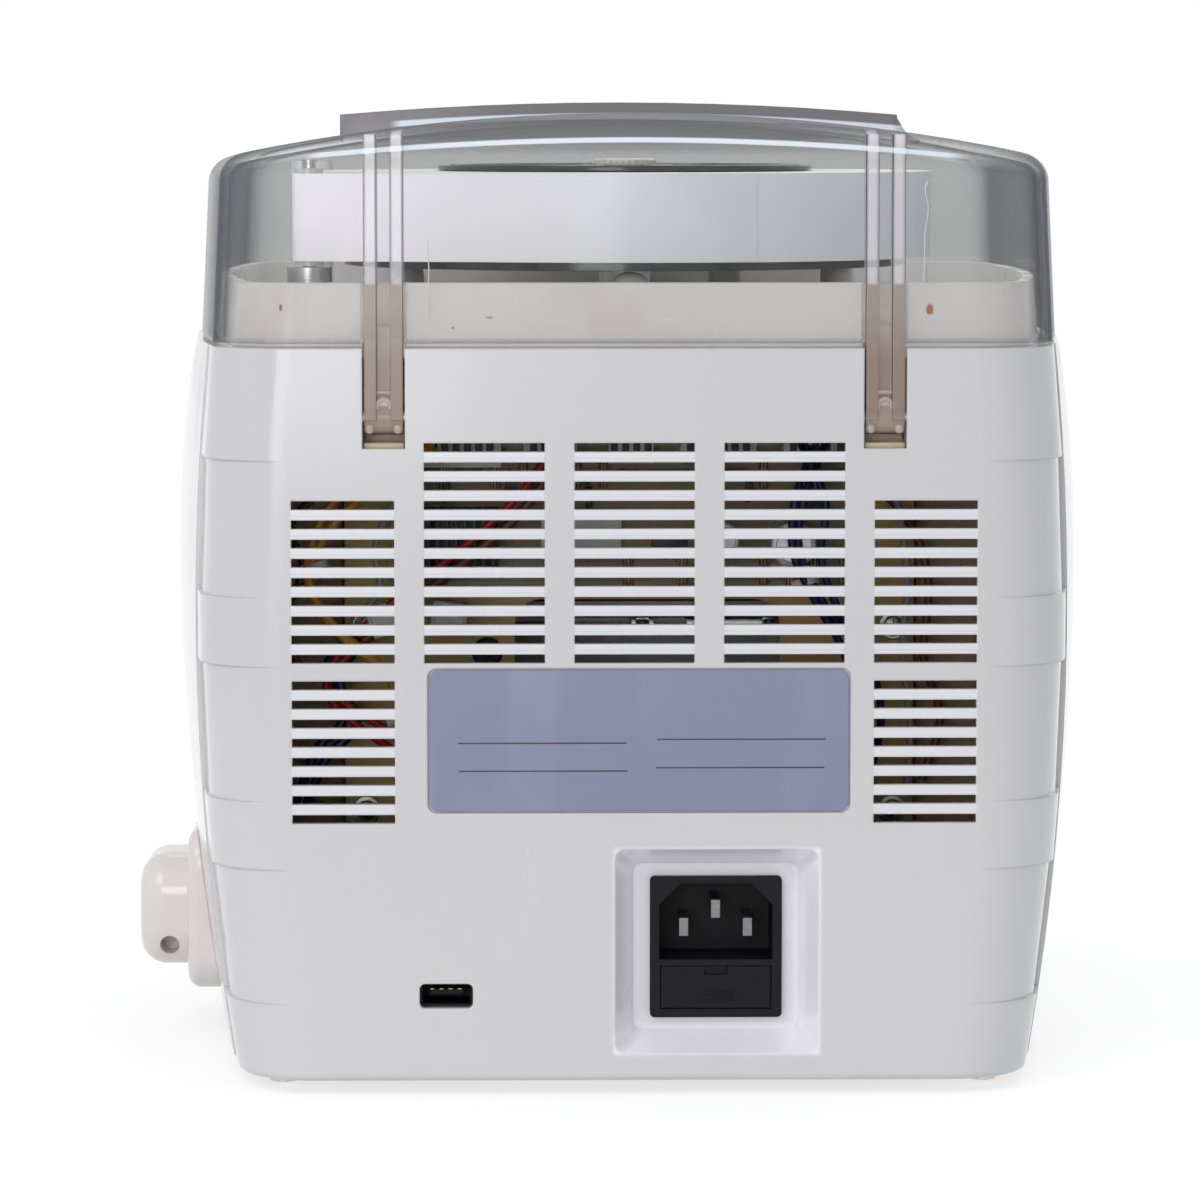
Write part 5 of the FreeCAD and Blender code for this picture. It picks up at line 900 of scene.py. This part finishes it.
# The hinge arms are beige, with painted shade: darker low in the slots and on their ribs, tan at their feet.
arm_tone_and_slot_shade = tint(step(height, 0.172, 0.160), (0.46, 0.40, 0.36), (0.34, 0.26, 0.22))
arm_tone_and_slot_shade = tint(0.4 * step(ribs, 0.0016, 0.0013), arm_tone_and_slot_shade, (0.20, 0.15, 0.12))
gloss = at.other("ShaderNodeBsdfPrincipled", {}, {
    "Base Color": tint(arm, body, tint(step(height, 0.149, 0.144), arm_tone_and_slot_shade, (0.44, 0.34, 0.24))),
    "Roughness": 0.11, "Specular IOR Level": 0.3, "Normal": at.other("ShaderNodeBump", {}, {
        "Height": grain(at, 0.04, 1), "Distance": 0.0001,
        "Normal": at.other("ShaderNodeBevel", {"samples": 6}, {"Radius": 0.0004})}),
    "Alpha": lit * (0.03 + 0.04 * haze + 0.6 * facing * facing + 0.28 * ribbed + 0.3 * lines + 0.5 * arm
                    + 0.6 * crown + 0.4 * rim + 0.43 * walls + 0.35 * lip + 0.7 * glint)})
# Painted shade: its edges, seen along the wall, are painted as dark as those of any clear sheet.
flanks = step(sideways, 0.083, 0.09)
edge = (1 - glint) * step(facing, 0.26, 0.6) * at.sum("MAXIMUM", ends, 0.42 * flanks)
dark = at.other("ShaderNodeBsdfPrincipled", {}, {
    "Base Color": tint(haze, (0.075, 0.08, 0.095), (0.11, 0.115, 0.13)), "Roughness": 0.5,
    "Specular IOR Level": 0.05, "Alpha": 0.85 * lit})
at.other("ShaderNodeOutputMaterial", {}, {"Surface": at.other("ShaderNodeMixShader", {}, {
    0: edge, 1: gloss, 2: dark})})
wear(clear, "clear_cover")

# The front lip ends in a hollow ramp on one side.
ramp = [(-73.5, 206.4), (-73.5, 213.1), (-74.3, 211.9), (-75.1, 210.4), (-76.1, 209.0), (-77.5, 208.0),
        (-79.4, 207.3), (-79.4, 206.2)]
form = bmesh.new()
skinned(form, [[form.verts.new((x / 1000, y, z / 1000)) for x, z in ramp] for y in (-0.0648, -0.0538)])
bmesh.ops.recalc_face_normals(form, faces=form.faces[:])
fix("lip_ramp", mesh_of("lip_ramp", form), clear, "cover")


def on_back(x, z):
    """A point on the back of the cover, in millimetres."""
    return x, onto("clear_cover", (x, 140, z), (0, -1, 0)).y, z


# A cross bar, a boss and two ball ends finish each hinge arm, low in its slot.
beige = plain("beige_clear", 0.004, (0.58, 0.50, 0.46), (0.68, 0.60, 0.56), 0.12, bump=(0.003, 0.00005),
              Alpha=0.7)
boss = mesh_of("boss", turned([(1.9, -1.2), (1.9, 0.2), (1.6, 0.5), (1.2, 0.5), (1.0, 0.1), (0.2, 0.1)], 24))
copies("hinge_bosses", boss, [(*on_back(x, 150.6), -90, 0, 0) for x in HINGES], beige, "cover", "clear_plastic")
ball = mesh_of("ball", turned([(0.2, -1.1), (0.8, -0.8), (1.1, 0), (0.8, 0.8), (0.2, 1.1)], 16))
copies("hinge_balls", ball, [on_back(x + side * 3.1, 145.6) for x in HINGES for side in (-1, 1)], beige,
       "cover", "clear_plastic")
beam = mesh_of("beam", slab((-3.9, -0.5, -0.45), (3.9, 0.35, 0.45), 0.0002))
copies("hinge_beams", beam, [on_back(x, 153.4) for x in HINGES], beige, "cover", "clear_plastic")
# Painted shade: tan sheets line the floor and the inner wall of each slot, where its white walls
# are in shade.
stop = plain("tan_slot_shade", 0.003, (0.50, 0.40, 0.27), (0.58, 0.48, 0.34), 0.4)
slot_shade_sheet = mesh_of("slot_shade_sheet", slab((-4.4, -2.2, -0.1), (4.4, 3.4, 1.2), 0.0004),
               slab((-4.4, -5.2, -0.1), (4.4, -4.0, 4.2), 0.0004))
copies("hinge_stops", slot_shade_sheet, [(x, 120, 141.4) for x in HINGES], stop, "machine", "core_board")

# Two old cracks run down the back of the cover.
crack = plain("cover_crack", 0.002, (0.60, 0.62, 0.62), (0.90, 0.92, 0.92), 0.3, Alpha=0.7)
CRACKS = [[(40.4, 168.9), (40.4, 174), (40.2, 180), (40.4, 186.2)],
          [(-66.7, 177.5), (-66.9, 183), (-67.0, 188), (-67.7, 193), (-66.9, 197), (-67.6, 199)]]
bars("cover_cracks", [[on_back(x, z) for x, z in route] for route in CRACKS], 0.00014, crack, "cover",
     "clear_plastic", 6)
